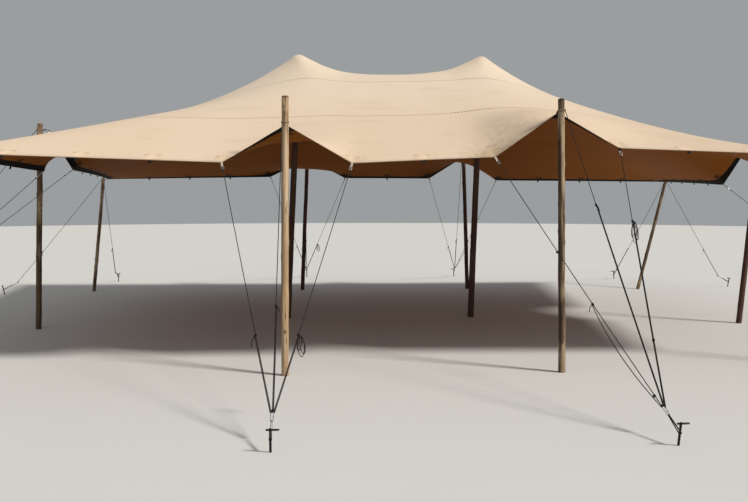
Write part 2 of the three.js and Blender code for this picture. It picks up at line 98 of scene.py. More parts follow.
class Value:
    """A shader value that can be reckoned with like a number."""

    def __init__(self, paint: "Painter", socket: bpy.types.NodeSocket) -> None:
        """Keeps the painter and the socket."""
        self.paint = paint
        self.socket = socket

    def __add__(self, other: Any) -> "Value":
        """The sum."""
        return self.paint.maths("ADD", self, other)

    def __sub__(self, other: Any) -> "Value":
        """The difference."""
        return self.paint.maths("SUBTRACT", self, other)

    def __rsub__(self, other: float) -> "Value":
        """A number less this value."""
        return self.paint.maths("SUBTRACT", other, self)

    def __mul__(self, other: Any) -> "Value":
        """The product."""
        return self.paint.maths("MULTIPLY", self, other)

    def __truediv__(self, other: Any) -> "Value":
        """The quotient."""
        return self.paint.maths("DIVIDE", self, other)

    def __abs__(self) -> "Value":
        """The value without its sign."""
        return self.paint.maths("ABSOLUTE", self)


class Painter:
    """Writes the shader nodes of one finish."""

    def __init__(self, name: str) -> None:
        """Starts a material of that name with a plain shader."""
        self.material = bpy.data.materials.new(name)
        self.material.use_nodes = True
        self.nodes = self.material.node_tree.nodes
        self.links = self.material.node_tree.links
        self.shader = self.nodes["Principled BSDF"]

    def feed(self, socket: bpy.types.NodeSocket, value: Any) -> None:
        """Links a socket, or sets its constant value."""
        if isinstance(value, Value):
            self.links.new(value.socket, socket)
        elif isinstance(value, tuple) and socket.type == "RGBA":
            socket.default_value = (*value, 1.0)
        else:
            socket.default_value = value

    def add(self, kind: str, output: int | str, inputs: dict[Any, Any], **settings: Any) -> Value:
        """Adds a node.

        Args:
            kind: The node's type.
            output: Name or number of the output that is wanted.
            inputs: What its sockets are fed with, by name or number.
            **settings: Its other properties.

        Returns:
            The wanted output.
        """
        node = self.nodes.new(kind)
        for key, value in settings.items():
            setattr(node, key, value)
        for key, value in inputs.items():
            self.feed(node.inputs[key], value)
        return Value(self, node.outputs[output])

    def position(self) -> Value:
        """The object coordinates."""
        return self.add("ShaderNodeTexCoord", "Object", {})

    def attribute(self, name: str, output: str = "Vector") -> Value:
        """A named attribute of the mesh."""
        return self.add("ShaderNodeAttribute", output, {}, attribute_name=name)

    def mapped(self, vector: Value, scale: Triple, shift: Triple = (0.0, 0.0, 0.0)) -> Value:
        """Coordinates stretched and moved."""
        return self.add("ShaderNodeMapping", "Vector", {"Vector": vector, "Scale": scale, "Location": shift})

    def split(self, vector: Value) -> list[Value]:
        """The three parts of a vector."""
        node = self.nodes.new("ShaderNodeSeparateXYZ")
        self.feed(node.inputs[0], vector)
        return [Value(self, part) for part in node.outputs]

    def maths(self, operation: str, a: Any, b: Any = 0.0) -> Value:
        """One step of arithmetic."""
        return self.add("ShaderNodeMath", 0, {0: a, 1: b}, operation=operation)

    def most(self, a: Any, b: Any) -> Value:
        """The greater of two values."""
        return self.maths("MAXIMUM", a, b)

    def zigzag(self, value: Any, top: float) -> Value:
        """A value that runs up to the top and down to zero, again and again."""
        return self.maths("PINGPONG", value, top)

    def noise(self, vector: Value, scale: float, detail: float = 3.0, rough: float = 0.55) -> Value:
        """Soft noise from 0 to 1."""
        inputs = {"Vector": vector, "Scale": scale, "Detail": detail, "Roughness": rough}
        return self.add("ShaderNodeTexNoise", "Fac", inputs)

    def cells(self, vector: Value, scale: float) -> Value:
        """Distance to the nearest of many scattered points."""
        return self.add("ShaderNodeTexVoronoi", "Distance", {"Vector": vector, "Scale": scale})

    def fade(self, value: Any, low: float, high: float, start: float = 0.0, end: float = 1.0) -> Value:
        """A smooth change from start to end while a value goes from low to high."""
        inputs = {"Value": value, "From Min": low, "From Max": high, "To Min": start, "To Max": end}
        return self.add("ShaderNodeMapRange", "Result", inputs, interpolation_type="SMOOTHSTEP")

    def within(self, value: Any, reach: float, soft: float) -> Value:
        """One up to a reach, and zero past it."""
        return self.fade(value, reach, reach + soft, 1.0, 0.0)

    def stripe(self, value: Value, centre: float, half: float, soft: float) -> Value:
        """One inside a band of values, and zero outside it."""
        return self.within(abs(value - centre), half, soft)

    def blend(self, first: Any, *layers: tuple[Any, Any]) -> Any:
        """Lays colours over a first one, each by its share: pairs of share and colour."""
        tone = first
        for share, colour in layers:
            tone = self.add("ShaderNodeMix", 2, {0: share, 6: tone, 7: colour}, data_type="RGBA")
        return tone

    def ramp(self, share: Value, stops: Sequence[tuple[float, Triple]]) -> Value:
        """A colour ramp with stops as (place, colour).

        Args:
            share: Where the colour is read.
            stops: The stops, two or more.

        Returns:
            The colour.
        """
        tone = self.add("ShaderNodeValToRGB", "Color", {0: share})
        elements = tone.socket.node.color_ramp.elements
        for element, (place, colour) in zip(elements, stops):
            element.position = place
            element.color = (*colour, 1.0)
        for place, colour in stops[2:]:
            elements.new(place).color = (*colour, 1.0)
        return tone

    def bump(self, height: Value, depth: float, under: Value | None = None) -> Value:
        """A bumped normal, over another one if that is given."""
        inputs = {"Strength": 1.0, "Distance": depth, "Height": height}
        if under is not None:
            inputs["Normal"] = under
        return self.add("ShaderNodeBump", "Normal", inputs)

    def finish(self, colour: Any, roughness: Any, normal: Value, **others: Any) -> Material:
        """Feeds the shader.

        Args:
            colour: Base colour.
            roughness: Roughness.
            normal: The bumped normal.
            **others: Other sockets of the shader, by name with _ for a space.

        Returns:
            The finished material.
        """
        inputs = {"Base_Color": colour, "Roughness": roughness, "Normal": normal, **others}
        for key, value in inputs.items():
            self.feed(self.shader.inputs[key.replace("_", " ")], value)
        return self.material


@dataclass(frozen=True)
class StretchCloth:
    """The knitted stretch cloth: fine knit, panel seams and stitched edges."""

    name: str
    colour: Triple
    shade: Triple
    soil_and_shade: Triple
    thread: Triple
    seam_tone: float
    faded: Triple | None = None
    tinted: Triple | None = None
    sheen: float = 0.1
    glow: Triple = (0.6, 0.4, 0.2)
    glow_share: float = 0.0
    panel: float = 1.5
    half_width: float = 3.75
    half_length: float = 5.0
    overlap: float = 0.009
    stitch: float = 0.024
    stitch_row: float = 0.0012
    stitch_soft: float = 0.0016
    turned_edge: float = 0.038
    pulled_at: float = 1.1
    pulled_half: float = 0.45
    faded_zone: tuple[float, float, float, float] = (0.6, 3.0, 0.75, 0.0)
    # where the darker tone at the right end of the cloth fades in
    tinted_zone: tuple[float, float, float, float] = (1.7, 3.3, 0.0, 0.8)
    streaks: Triple = (0.7, 2.6, 1.0)

    def seam_marks(self, paint: Painter, u: Value, v: Value) -> tuple[Value, Value]:
        """The overlap band and the stitches of the panel seams, pulled open on one of them.

        Args:
            paint: The shader being written.
            u: Distance along the seams.
            v: Distance across them.

        Returns:
            The band and the stitches, each from 0 to 1.
        """
        away = paint.zigzag(v + self.half_width, self.panel / 2)
        band = paint.within(away, self.overlap, 0.003)
        dashes = paint.fade(paint.zigzag(u, self.stitch), 0.010, 0.014)
        rows = paint.stripe(away, 0.0055, 0.0042, 0.0015) * dashes
        pulled = paint.within(away, 0.015, 0.006) * dashes
        strained = paint.stripe(u, self.pulled_at, self.pulled_half, 0.25)
        strained = strained * paint.stripe(v, -self.panel * 1.5, 0.3, 0.2)
        return band * (strained * -0.55 + 1.0), paint.most(rows * 0.4, pulled * strained)

    def edge_marks(self, paint: Painter, u: Value, v: Value) -> tuple[Value, Value]:
        """The turned edge and its two rows of stitches."""
        inside = paint.maths("MINIMUM", self.half_length - abs(u), self.half_width - abs(v))
        outer = paint.stripe(inside, 0.008, self.stitch_row, self.stitch_soft)
        inner = paint.stripe(inside, 0.034, self.stitch_row, self.stitch_soft)
        return paint.within(inside, self.turned_edge, 0.003), paint.most(outer, inner)

    def make(self) -> Material:
        """Writes the material."""
        paint = Painter(self.name)
        cloth = paint.attribute("cloth")
        u, v, _ = paint.split(cloth)
        band, rows = self.seam_marks(paint, u, v)
        turned, stitches = self.edge_marks(paint, u, v)
        thread = paint.most(rows, stitches)
        fine = paint.noise(cloth, 18.0, 4.0)
        streaks = paint.noise(paint.mapped(cloth, self.streaks), 1.3, 4.0)
        tone = paint.blend(self.shade, (paint.fade(paint.noise(cloth, 0.55), 0.3, 0.7), self.colour))
        if self.faded:
            tone = paint.blend(tone, (paint.fade(abs(v), *self.faded_zone), self.faded))
        # a darker tone towards the right end of the cloth
        if self.tinted:
            tone = paint.blend(tone, (paint.fade(u, *self.tinted_zone), self.tinted))
        soiled_and_shaded = paint.attribute("soil_and_shade", "Fac")
        blotches = paint.fade(paint.noise(cloth, 11.0), 0.47, 0.62, 0.0, 0.55)
        tone = paint.blend(
            tone,
            (paint.fade(streaks, 0.52, 0.78, 0.0, 0.22), self.soil_and_shade),
            (paint.fade(fine, 0.5, 0.8, 0.0, 0.12), self.soil_and_shade),
            # the soil share is dirt at the low points and painted shade in the hollow beside the right raised
            # tip
            (soiled_and_shaded * paint.fade(fine, 0.3, 0.6, 0.35, 1.0), self.soil_and_shade),
            (soiled_and_shaded * blotches, self.thread),
            # the seam band and stitch rows are darkened partly for their own overlap and thread, and partly
            # as painted shade of the puckers along the stitches, most where a seam is pulled
            (band * self.seam_tone, self.soil_and_shade),
            (thread * (self.seam_tone * 1.5), self.thread),
        )
        knit = paint.noise(paint.mapped(cloth, KNIT), 1.0, 2.0)
        normal = paint.bump(knit * 0.12 + band * 0.5 + turned * 0.4 - thread * 0.35, 0.0022)
        normal = paint.bump(paint.noise(cloth, 3.2, 2.0), 0.006, normal)
        material = paint.finish(tone, paint.fade(fine, 0.3, 0.7, 0.72, 0.86), normal,
                                Sheen_Weight=self.sheen, Sheen_Roughness=0.5, Specular_IOR_Level=0.15)
        self.let_light_through(paint, normal)
        return material

    def let_light_through(self, paint: Painter, normal: Value) -> None:
        """Lets some light from the other side through the thin cloth."""
        opaque = Value(paint, paint.shader.outputs[0])
        through = paint.add("ShaderNodeBsdfTranslucent", 0, {"Color": self.glow, "Normal": normal})
        mixed = paint.add("ShaderNodeMixShader", 0, {0: self.glow_share, 1: opaque, 2: through})
        paint.feed(paint.nodes["Material Output"].inputs[0], mixed)


@dataclass(frozen=True)
class StitchedPatch:
    """A doubled piece of cloth with a strip sewn on: two legs and a bar, crossed boxes where they meet."""

    name: str
    colour: Triple
    thread: Triple
    soil_and_shade: Triple
    level: float = 0.0
    box: float = 0.062
    half: float = 0.019
    row: float = 0.0012

    def make(self) -> Material:
        """Writes the material."""
        paint = Painter(self.name)
        own = paint.attribute("weave")
        along, deep, _ = paint.split(own)
        inside = abs(abs(along) - self.box)
        across = abs(deep - self.level)
        leg = paint.within(inside, self.half, self.row * 2)
        bar = paint.within(across, self.half, self.row * 2)
        rows = paint.most(paint.stripe(inside, self.half, self.row, self.row),
                          paint.stripe(across, self.half, self.row, self.row) * leg)
        boxed = leg * bar
        sewn = paint.most(rows, paint.stripe(inside - across, 0.0, self.row, self.row) * boxed)
        dirt = paint.noise(paint.mapped(own, (40.0, 40.0, 1.0)), 1.0)
        tone = paint.blend(
            self.colour,
            (paint.fade(dirt, 0.35, 0.75, 0.0, 0.18), self.thread),
            (paint.most(leg, bar) * 0.2, self.thread),
            (boxed * 0.5, self.thread),
            (sewn * 0.6, self.thread),
            # the soil share is dirt at the low points and, near the right raised tip, painted shade
            (paint.attribute("soil_and_shade", "Fac"), self.soil_and_shade),
        )
        knit = paint.noise(paint.mapped(own, KNIT), 1.0, 2.0)
        return paint.finish(tone, 0.82, paint.bump(knit * 0.12 - sewn * 0.4, 0.002), Specular_IOR_Level=0.15)


@dataclass(frozen=True)
class PeeledWood:
    """A peeled, weathered round pole, from its grain coordinates."""

    name: str
    pale: Triple
    mid: Triple
    dark: Triple
    grey: Triple
    weathering: float
    blotch: float = 0.0
    fibre: Triple = (90.0, 90.0, 2.4)
    streak: Triple = (16.0, 16.0, 1.1)
    patch: Triple = (5.0, 5.0, 1.6)
    crack: Triple = (34.0, 34.0, 1.3)
    peel: Triple = (11.0, 11.0, 2.1)
    peel_shift: Triple = (3.0, 1.0, 0.0)

    def make(self) -> Material:
        """Writes the material: fibres, streaks, weather, cracks, bare patches, then knots, stains and painted
        shade strips.
        """
        paint = Painter(self.name)
        grain = paint.attribute("grain")
        fibres = paint.noise(paint.mapped(grain, self.fibre), 1.0, 5.0, 0.62)
        bands = paint.noise(paint.mapped(grain, self.streak), 1.0, 4.0)
        patches = paint.noise(paint.mapped(grain, self.patch), 1.0)
        cracks = paint.within(paint.cells(paint.mapped(grain, self.crack), 1.0), 0.03, 0.055)
        bare = paint.fade(paint.noise(paint.mapped(grain, self.peel, self.peel_shift), 1.0), 0.52, 0.62)
        knot = paint.attribute("knot", "Fac")
        peeled = paint.fade(knot, -0.8, -0.25, 1.0, 0.0) * paint.fade(bands, 0.35, 0.6, 0.9, 0.3)
        tone = paint.blend(
            paint.ramp(fibres, ((0.30, self.dark), (0.48, self.mid), (0.70, self.pale))),
            (paint.fade(bands, 0.45, 0.68, 0.0, 0.75), self.mid),
            (paint.fade(patches, 0.42, 0.66, 0.0, self.weathering), self.grey),
            (cracks * 0.7, self.dark),
            (bare * self.blotch, self.pale),
            # knots and stains darken the wood, and so do the painted shade strips stored with them
            (paint.fade(knot, 0.25, 0.8, 0.0, 0.85), self.dark),
            (peeled, self.pale),
        )
        normal = paint.bump(bands, 0.004, paint.bump(fibres - cracks * 0.9, 0.0035))
        return paint.finish(tone, paint.fade(fibres, 0.3, 0.7, 0.9, 0.68), normal, Specular_IOR_Level=0.3)


@dataclass(frozen=True)
class BraidedRope:
    """Braided guy line, from its lay coordinates: metres along, turns around."""

    name: str
    dark: Triple
    light: Triple
    pitch: float = 0.016
    dust: Triple = (0.09, 0.08, 0.065)

    def make(self) -> Material:
        """Writes the material."""
        paint = Painter(self.name)
        along, around, _ = paint.split(paint.attribute("lay"))
        turns = along / self.pitch
        lay = around * 3.0
        braid = paint.most(paint.zigzag(turns + lay, 0.5), paint.zigzag(turns - lay, 0.5))
        tinted = paint.fade(paint.noise(paint.position(), 22.0, 4.0), 0.5, 0.75, 0.0, 0.4)
        tone = paint.blend(self.dark, (paint.fade(braid, 0.2, 0.5), self.light), (tinted, self.dust))
        return paint.finish(tone, 0.9, paint.bump(braid, 0.002), Specular_IOR_Level=0.12)


@dataclass(frozen=True)
class Webbing:
    """Woven strap, from its own coordinates: metres along and across."""

    name: str
    colour: Triple
    wear: Triple

    def make(self) -> Material:
        """Writes the material."""
        paint = Painter(self.name)
        along, across, _ = paint.split(paint.attribute("weave"))
        relief = paint.zigzag(along, 0.0012) * 400.0 + paint.zigzag(across, 0.0025) * 200.0
        dust = paint.noise(paint.position(), 30.0, 4.0)
        tone = paint.blend(self.colour, (paint.fade(dust, 0.45, 0.75, 0.0, 0.5), self.wear))
        return paint.finish(tone, 0.9, paint.bump(relief, 0.0008), Specular_IOR_Level=0.1)


@dataclass(frozen=True)
class WornSteel:
    """Bare or blackened steel with scuffs and a little rust."""

    name: str
    colour: Triple
    bright: Triple
    rust: float
    roughness: float
    rust_colour: Triple = (0.16, 0.065, 0.028)

    def make(self) -> Material:
        """Writes the material."""
        paint = Painter(self.name)
        scuffs = paint.noise(paint.position(), 45.0, 5.0, 0.65)
        rusted = paint.fade(paint.noise(paint.position(), 16.0, 4.0), 0.52, 0.68, 0.0, self.rust)
        scuffed = paint.fade(scuffs, 0.5, 0.7)
        tone = paint.blend(self.colour, (scuffed, self.bright), (rusted, self.rust_colour))
        rough = paint.fade(scuffs, 0.3, 0.7, self.roughness, self.roughness + 0.2)
        return paint.finish(tone, rough, paint.bump(scuffs, 0.0008), Metallic=0.9 - rusted)


@dataclass(frozen=True)
class MouldedRubber:
    """Black moulded rubber with a dusty bloom."""

    name: str
    colour: Triple
    bloom: Triple

    def make(self) -> Material:
        """Writes the material."""
        paint = Painter(self.name)
        dust = paint.noise(paint.position(), 26.0, 5.0)
        tone = paint.blend(self.colour, (paint.fade(dust, 0.42, 0.72), self.bloom))
        normal = paint.bump(paint.noise(paint.position(), 160.0), 0.0006)
        return paint.finish(tone, paint.fade(dust, 0.3, 0.7, 0.5, 0.75), normal)


@dataclass(frozen=True)
class StudioFloor:
    """Plain pale floor."""

    name: str
    colour: Triple
    worn: Triple

    def make(self) -> Material:
        """Writes the material."""
        paint = Painter(self.name)
        tone = paint.blend(self.colour, (paint.noise(paint.position(), 0.4), self.worn))
        normal = paint.bump(paint.noise(paint.position(), 60.0), 0.0006)
        return paint.finish(tone, 0.92, normal, Specular_IOR_Level=0.15)


class Finishes:
    """Every material of the tent, each made once."""

    def __init__(self) -> None:
        """Makes them all."""
        soil_and_shade = (0.44, 0.31, 0.195)
        self.outside = StretchCloth(
            "sand_stretch_cloth", (0.785, 0.632, 0.476), (0.765, 0.603, 0.443), soil_and_shade,
            (0.27, 0.175, 0.10), 0.6, faded=(0.79, 0.66, 0.522), tinted=(0.70, 0.545, 0.395),
            glow=(0.62, 0.42, 0.22), glow_share=0.16).make()
        # the underside: the same sand cloth given a dark brown colour as painted shade
        self.inside = StretchCloth(
            "painted_shade_cloth_underside", (0.245, 0.088, 0.0115), (0.21, 0.074, 0.010), (0.06, 0.022, 0.005),
            (0.04, 0.016, 0.005), 0.5, sheen=0.0, glow=(0.60, 0.25, 0.045), glow_share=0.28).make()
        self.patch = StitchedPatch("patch_cloth", (0.72, 0.56, 0.408), (0.50, 0.37, 0.25), soil_and_shade, 0.045).make()
        # the patches seen from below: the patch cloth given a near-black brown as painted shade
        self.shaded_under_patch = StitchedPatch(
            "painted_shade_patch_underside", (0.075, 0.03, 0.009), (0.03, 0.013, 0.005), (0.03, 0.012, 0.005)).make()
        self.pale_wood = PeeledWood(
            "pale_peeled_wood", (0.66, 0.50, 0.34), (0.42, 0.28, 0.155), (0.075, 0.042, 0.022),
            (0.27, 0.19, 0.115), 0.75).make()
        self.worn_wood = PeeledWood(
            "weathered_wood", (0.42, 0.315, 0.20), (0.115, 0.068, 0.035), (0.030, 0.018, 0.011),
            (0.070, 0.042, 0.024), 0.85, 0.65).make()
        # the same peeled wood given a much darker colour as painted shade, for the poles that stand in the
        # canopy's shade
        self.shaded_wood = PeeledWood(
            "painted_shade_wood", (0.13, 0.060, 0.035), (0.062, 0.028, 0.018), (0.02, 0.011, 0.008),
            (0.10, 0.065, 0.045), 0.4).make()
        self.rope = BraidedRope("black_braided_rope", (0.006, 0.006, 0.006), (0.028, 0.027, 0.026)).make()
        self.twine = BraidedRope("brown_twine", (0.22, 0.15, 0.088), (0.42, 0.31, 0.20), 0.009).make()
        self.hem = Webbing("black_hem_tape", (0.008, 0.007, 0.006), (0.022, 0.018, 0.014)).make()
        self.black_webbing = Webbing("black_webbing", (0.012, 0.012, 0.012), (0.05, 0.045, 0.038)).make()
        self.pale_webbing = Webbing("pale_webbing", (0.42, 0.38, 0.31), (0.24, 0.2, 0.15)).make()
        self.silver = WornSteel("zinc_plated_steel", (0.42, 0.42, 0.41), (0.62, 0.62, 0.61), 0.1, 0.32).make()
        self.black_steel = WornSteel(
            "blackened_steel", (0.02, 0.02, 0.021), (0.07, 0.07, 0.07), 0.45, 0.45).make()
        self.rubber = MouldedRubber("moulded_rubber", (0.018, 0.017, 0.016), (0.055, 0.05, 0.043)).make()
        self.floor = StudioFloor("pale_floor", (0.60, 0.592, 0.575), (0.57, 0.5624, 0.54625)).make()


class Bench:
    """Modelling steps that the pieces share, as done by hand."""

    @staticmethod
    def clear() -> None:
        """Leaves edit mode and deselects everything."""
        active = bpy.context.view_layer.objects.active
        if active is not None and active.mode != "OBJECT":
            bpy.ops.object.mode_set(mode="OBJECT")
        bpy.ops.object.select_all(action="DESELECT")

    @staticmethod
    def take(obj: Object) -> None:
        """Makes one object the selected and active one."""
        Bench.clear()
        obj.select_set(True)
        bpy.context.view_layer.objects.active = obj

    @staticmethod
    def settle(obj: Object) -> None:
        """Moves an object's place, turn and scale into its mesh."""
        Bench.take(obj)
        bpy.ops.object.transform_apply(location=True, rotation=True, scale=True)

    @staticmethod
    def edit(obj: Object) -> None:
        """Opens one object in edit mode with nothing picked."""
        Bench.take(obj)
        bpy.ops.object.mode_set(mode="EDIT")
        bpy.ops.mesh.select_all(action="DESELECT")

    @staticmethod
    def pick(obj: Object, kind: Pick, test: Callable[[Any], bool]) -> None:
        """Selects the parts of the open mesh that pass a test.

        Args:
            obj: The object in edit mode.
            kind: Whether points, edges or faces are tested.
            test: Says of one point, edge or face whether it is wanted.
        """
        bpy.ops.mesh.select_mode(type=kind.value)
        bpy.ops.mesh.select_all(action="DESELECT")
        mesh = bmesh.from_edit_mesh(obj.data)
        parts = {Pick.VERT: mesh.verts, Pick.EDGE: mesh.edges, Pick.FACE: mesh.faces}[kind]
        for part in parts:
            if test(part):
                part.select_set(True)
        mesh.select_flush_mode()
        bmesh.update_edit_mesh(obj.data)

    @staticmethod
    def apply(obj: Object, kind: str, **settings: Any) -> None:
        """Adds one modifier and applies it."""
        Bench.take(obj)
        modifier = obj.modifiers.new(kind.lower(), kind)
        for key, value in settings.items():
            setattr(modifier, key, value)
        bpy.ops.object.modifier_apply(modifier=modifier.name)

    @staticmethod
    def smooth(obj: Object, degrees: float = 40.0) -> None:
        """Shades smooth, apart from edges sharper than an angle."""
        Bench.take(obj)
        bpy.ops.object.shade_smooth_by_angle(angle=math.radians(degrees))

    @staticmethod
    def cylinder(sides: int, radius: float, depth: float, place: Any, turn: Any = (0, 0, 0)) -> Object:
        """A cylinder round a place, with its turn settled into its mesh."""
        Bench.clear()
        bpy.ops.mesh.primitive_cylinder_add(
            vertices=sides, radius=radius, depth=depth, location=place, rotation=turn)
        made = bpy.context.object
        Bench.settle(made)
        return made

    @staticmethod
    def round_ends(obj: Object, offset: float) -> None:
        """Bevels the rims at a cylinder's two ends."""
        Bench.edit(obj)
        Bench.pick(obj, Pick.EDGE, lambda edge: any(len(face.verts) > 4 for face in edge.link_faces))
        bpy.ops.mesh.bevel(offset=offset, segments=2)
        bpy.ops.object.mode_set(mode="OBJECT")

    @staticmethod
    def dress(obj: Object, name: str, material: Material) -> None:
        """Names an object, gives it its finish and shades it smooth."""
        obj.name = name
        obj.data.name = name
        obj.data.materials.append(material)
        Bench.smooth(obj)

    @staticmethod
    def tidy(obj: Object) -> None:
        """Merges doubled points, then turns all faces outwards."""
        Bench.edit(obj)
        bpy.ops.mesh.select_all(action="SELECT")
        bpy.ops.mesh.remove_doubles(threshold=MERGE)
        bpy.ops.mesh.normals_make_consistent(inside=False)
        bpy.ops.object.mode_set(mode="OBJECT")

    @staticmethod
    def copy(source: Object, place: Matrix) -> Object:
        """A copy with its own mesh, put in place."""
        other = source.copy()
        other.data = source.data.copy()
        other.data.transform(place)
        bpy.context.scene.collection.objects.link(other)
        return other

    @staticmethod
    def join(parts: Sequence[Object], name: str) -> Object:
        """Joins objects into one, under a new name.

        Args:
            parts: The objects, the one that stays first.
            name: The new name.

        Returns:
            The joined object.
        """
        Bench.clear()
        for part in parts:
            part.select_set(True)
        bpy.context.view_layer.objects.active = parts[0]
        if len(parts) > 1:
            bpy.ops.object.join()
        parts[0].name = name
        parts[0].data.name = name
        return parts[0]

    @staticmethod
    def mesh(name: str, points: Any, faces: Any, materials: Sequence[Material]) -> Object:
        """A mesh object from points and faces.

        Args:
            name: Its name.
            points: Its points.
            faces: The numbers of each face's points.
            materials: Its materials.

        Returns:
            The object.
        """
        data = bpy.data.meshes.new(name)
        data.from_pydata([tuple(point) for point in points], [], [tuple(face) for face in faces])
        data.update()
        obj = bpy.data.objects.new(name, data)
        bpy.context.scene.collection.objects.link(obj)
        for material in materials:
            data.materials.append(material)
        return obj

    @staticmethod
    def store(obj: Object, name: str, values: Any) -> None:
        """Stores one number or one vector for each point of a mesh."""
        rows = np.asarray(values, dtype=np.float32)
        kind, key = ("FLOAT", "value") if rows.ndim == 1 else ("FLOAT_VECTOR", "vector")
        obj.data.attributes.new(name, kind, "POINT").data.foreach_set(key, rows.ravel())

    @staticmethod
    def points(obj: Object) -> np.ndarray:
        """The points of a mesh as rows."""
        flat = np.empty(len(obj.data.vertices) * 3)
        obj.data.vertices.foreach_get("co", flat)
        return flat.reshape(-1, 3)

    @staticmethod
    def finish(obj: Object, slot: Slot, *nodes: str) -> Object:
        """Makes an object a piece of the tent.

        Args:
            obj: The finished piece.
            slot: The record's slot; not used.
            *nodes: The solids that it stands for.

        Returns:
            The same object.
        """
        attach(obj, BODY)
        if nodes:
            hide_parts(*nodes)
        LOG.info("%s: %d faces", obj.name, len(obj.data.polygons))
        return obj


@dataclass(frozen=True)
class CutCloth:
    """The cut of the cloth, how it pulls, and where it is tied."""

    length: float = 10.0
    width: float = 7.5
    long_steps: int = 14
    short_steps: int = 10
    cells_per_step: int = 2
    head_half: float = 0.06
    peak_step: int = 2
    peak_height: float = 3.903
    peak_x: tuple[float, float] = (-1.444, 1.281)
    rest_left: float = 0.99
    rest_middle: float = 0.808
    rest_middle_rim: float = 1.039
    rest_right: float = 1.158
    middle_zone: tuple[float, float] = (0.75, 2.10)
    rim_zone: tuple[float, float] = (0.75, 2.25)
    across_places: tuple[float, ...] = (-2.9, -1.43, 0.0, 1.43, 2.9)
    rest_across: tuple[float, ...] = (1.032, 1.053, 0.938, 1.003, 1.085)
    rest_bias: float = 0.995
    rest_edge: float = 0.808
    bias_stiffness: float = 0.21
    edge_stiffness: float = 15.0
    start_height: float = 2.9
    rigging: dict[Side, tuple[tuple[int, float, float, float], ...]] = field(default_factory=lambda: {
        Side.FRONT: (
            (-7, -4.870, -3.660, 2.217),
            (-3, -2.030, -3.600, 2.130),
            (-2, -1.400, -3.510, 2.520),
            (-1, -0.730, -3.600, 2.125),
            (1, 0.720, -3.600, 2.190),
            (2, 1.400, -3.510, 2.660),
            (3, 2.010, -3.600, 2.285),
            (7, 4.890, -3.660, 2.190),
        ),
        Side.BACK: (
            (-7, -5.290, 3.600, 2.159),
            (-3, -2.170, 3.500, 2.200),
            (-2, -1.440, 3.390, 2.560),
            (-1, -0.720, 3.500, 2.180),
            (1, 0.930, 3.500, 2.175),
            (2, 1.600, 3.390, 2.600),
            (3, 2.260, 3.500, 2.140),
            (7, 5.620, 3.560, 2.119),
        ),
        Side.LEFT: (
            (-2, -4.580, -1.500, 2.110),
            (-1, -4.800, -0.750, 2.700),
            (0, -4.740, 0.020, 2.190),
        ),
        Side.RIGHT: (
            (-2, 4.980, -1.500, 2.030),
            (-1, 5.040, -0.750, 2.613),
            (0, 5.020, 0.020, 1.985),
        ),
    })

    @property
    def long_step(self) -> float:
        """Distance between tie points along the long sides."""
        return self.length / self.long_steps

    @property
    def short_step(self) -> float:
        """Distance between tie points along the short sides."""
        return self.width / self.short_steps

    @property
    def heads(self) -> tuple[float, float]:
        """Where the two pole heads lie along the cloth."""
        return -self.peak_step * self.long_step, self.peak_step * self.long_step

    def rest_along(self, u: np.ndarray, v: np.ndarray) -> np.ndarray:
        """Rest length against cut length along the cloth: tightest between the peaks.

        Args:
            u: Places along the cloth, as a column.
            v: Places across it, as a row.

        Returns:
            One share for each crossing of the two.
        """
        full, end = self.middle_zone
        start, rim = self.rim_zone
        to_rim = np.clip((np.abs(v) - start) / (rim - start), 0.0, 1.0)
        to_rim = to_rim ** 2 * (3 - 2 * to_rim)
        inner = self.rest_middle + (self.rest_middle_rim - self.rest_middle) * to_rim
        out = np.clip((np.abs(u) - full) / (end - full), 0.0, 1.0)
        return inner + (np.where(u < 0, self.rest_left, self.rest_right) - inner) * out

    def tie(self, side: Side, step: int) -> tuple[float, float]:
        """Where a tie point lies on the flat cloth.

        Args:
            side: The side of the cloth.
            step: Number of the tie point, from the middle of the side.

        Returns:
            Its place along the cloth and across it.
        """
        half_length = self.length / 2
        half_width = self.width / 2
        flat = {
            Side.FRONT: (step * self.long_step, -half_width),
            Side.BACK: (step * self.long_step, half_width),
            Side.LEFT: (-half_length, step * self.short_step),
            Side.RIGHT: (half_length, step * self.short_step),
        }
        return flat[side]

    def held(self) -> list[tuple[Side, int]]:
        """The tie points that carry a pole or a rope."""
        return [(side, row[0]) for side, rows in self.rigging.items() for row in rows]

    def all_ties(self) -> list[tuple[Side, int]]:
        """Every tie point, each corner once."""
        long_half = self.long_steps // 2
        short_half = self.short_steps // 2
        ties = [(side, k) for side in (Side.FRONT, Side.BACK) for k in range(-long_half, long_half + 1)]
        ties += [(side, k) for side in (Side.LEFT, Side.RIGHT) for k in range(1 - short_half, short_half)]
        return ties


@dataclass(frozen=True)
class Fold:
    """A soft rise or hollow of the cloth: its places on the flat cloth, and its lift."""

    start: float
    crest: float
    end: float
    edge: float
    high: float
    inner: float
    rise: float

    @staticmethod
    def share(places: np.ndarray, low: float, top: float, high: float) -> np.ndarray:
        """Smoothly up from low to top, and down again to high."""
        ramp = np.interp(places, (low, top, high), (0.0, 1.0, 0.0))
        return ramp * ramp * (3 - 2 * ramp)


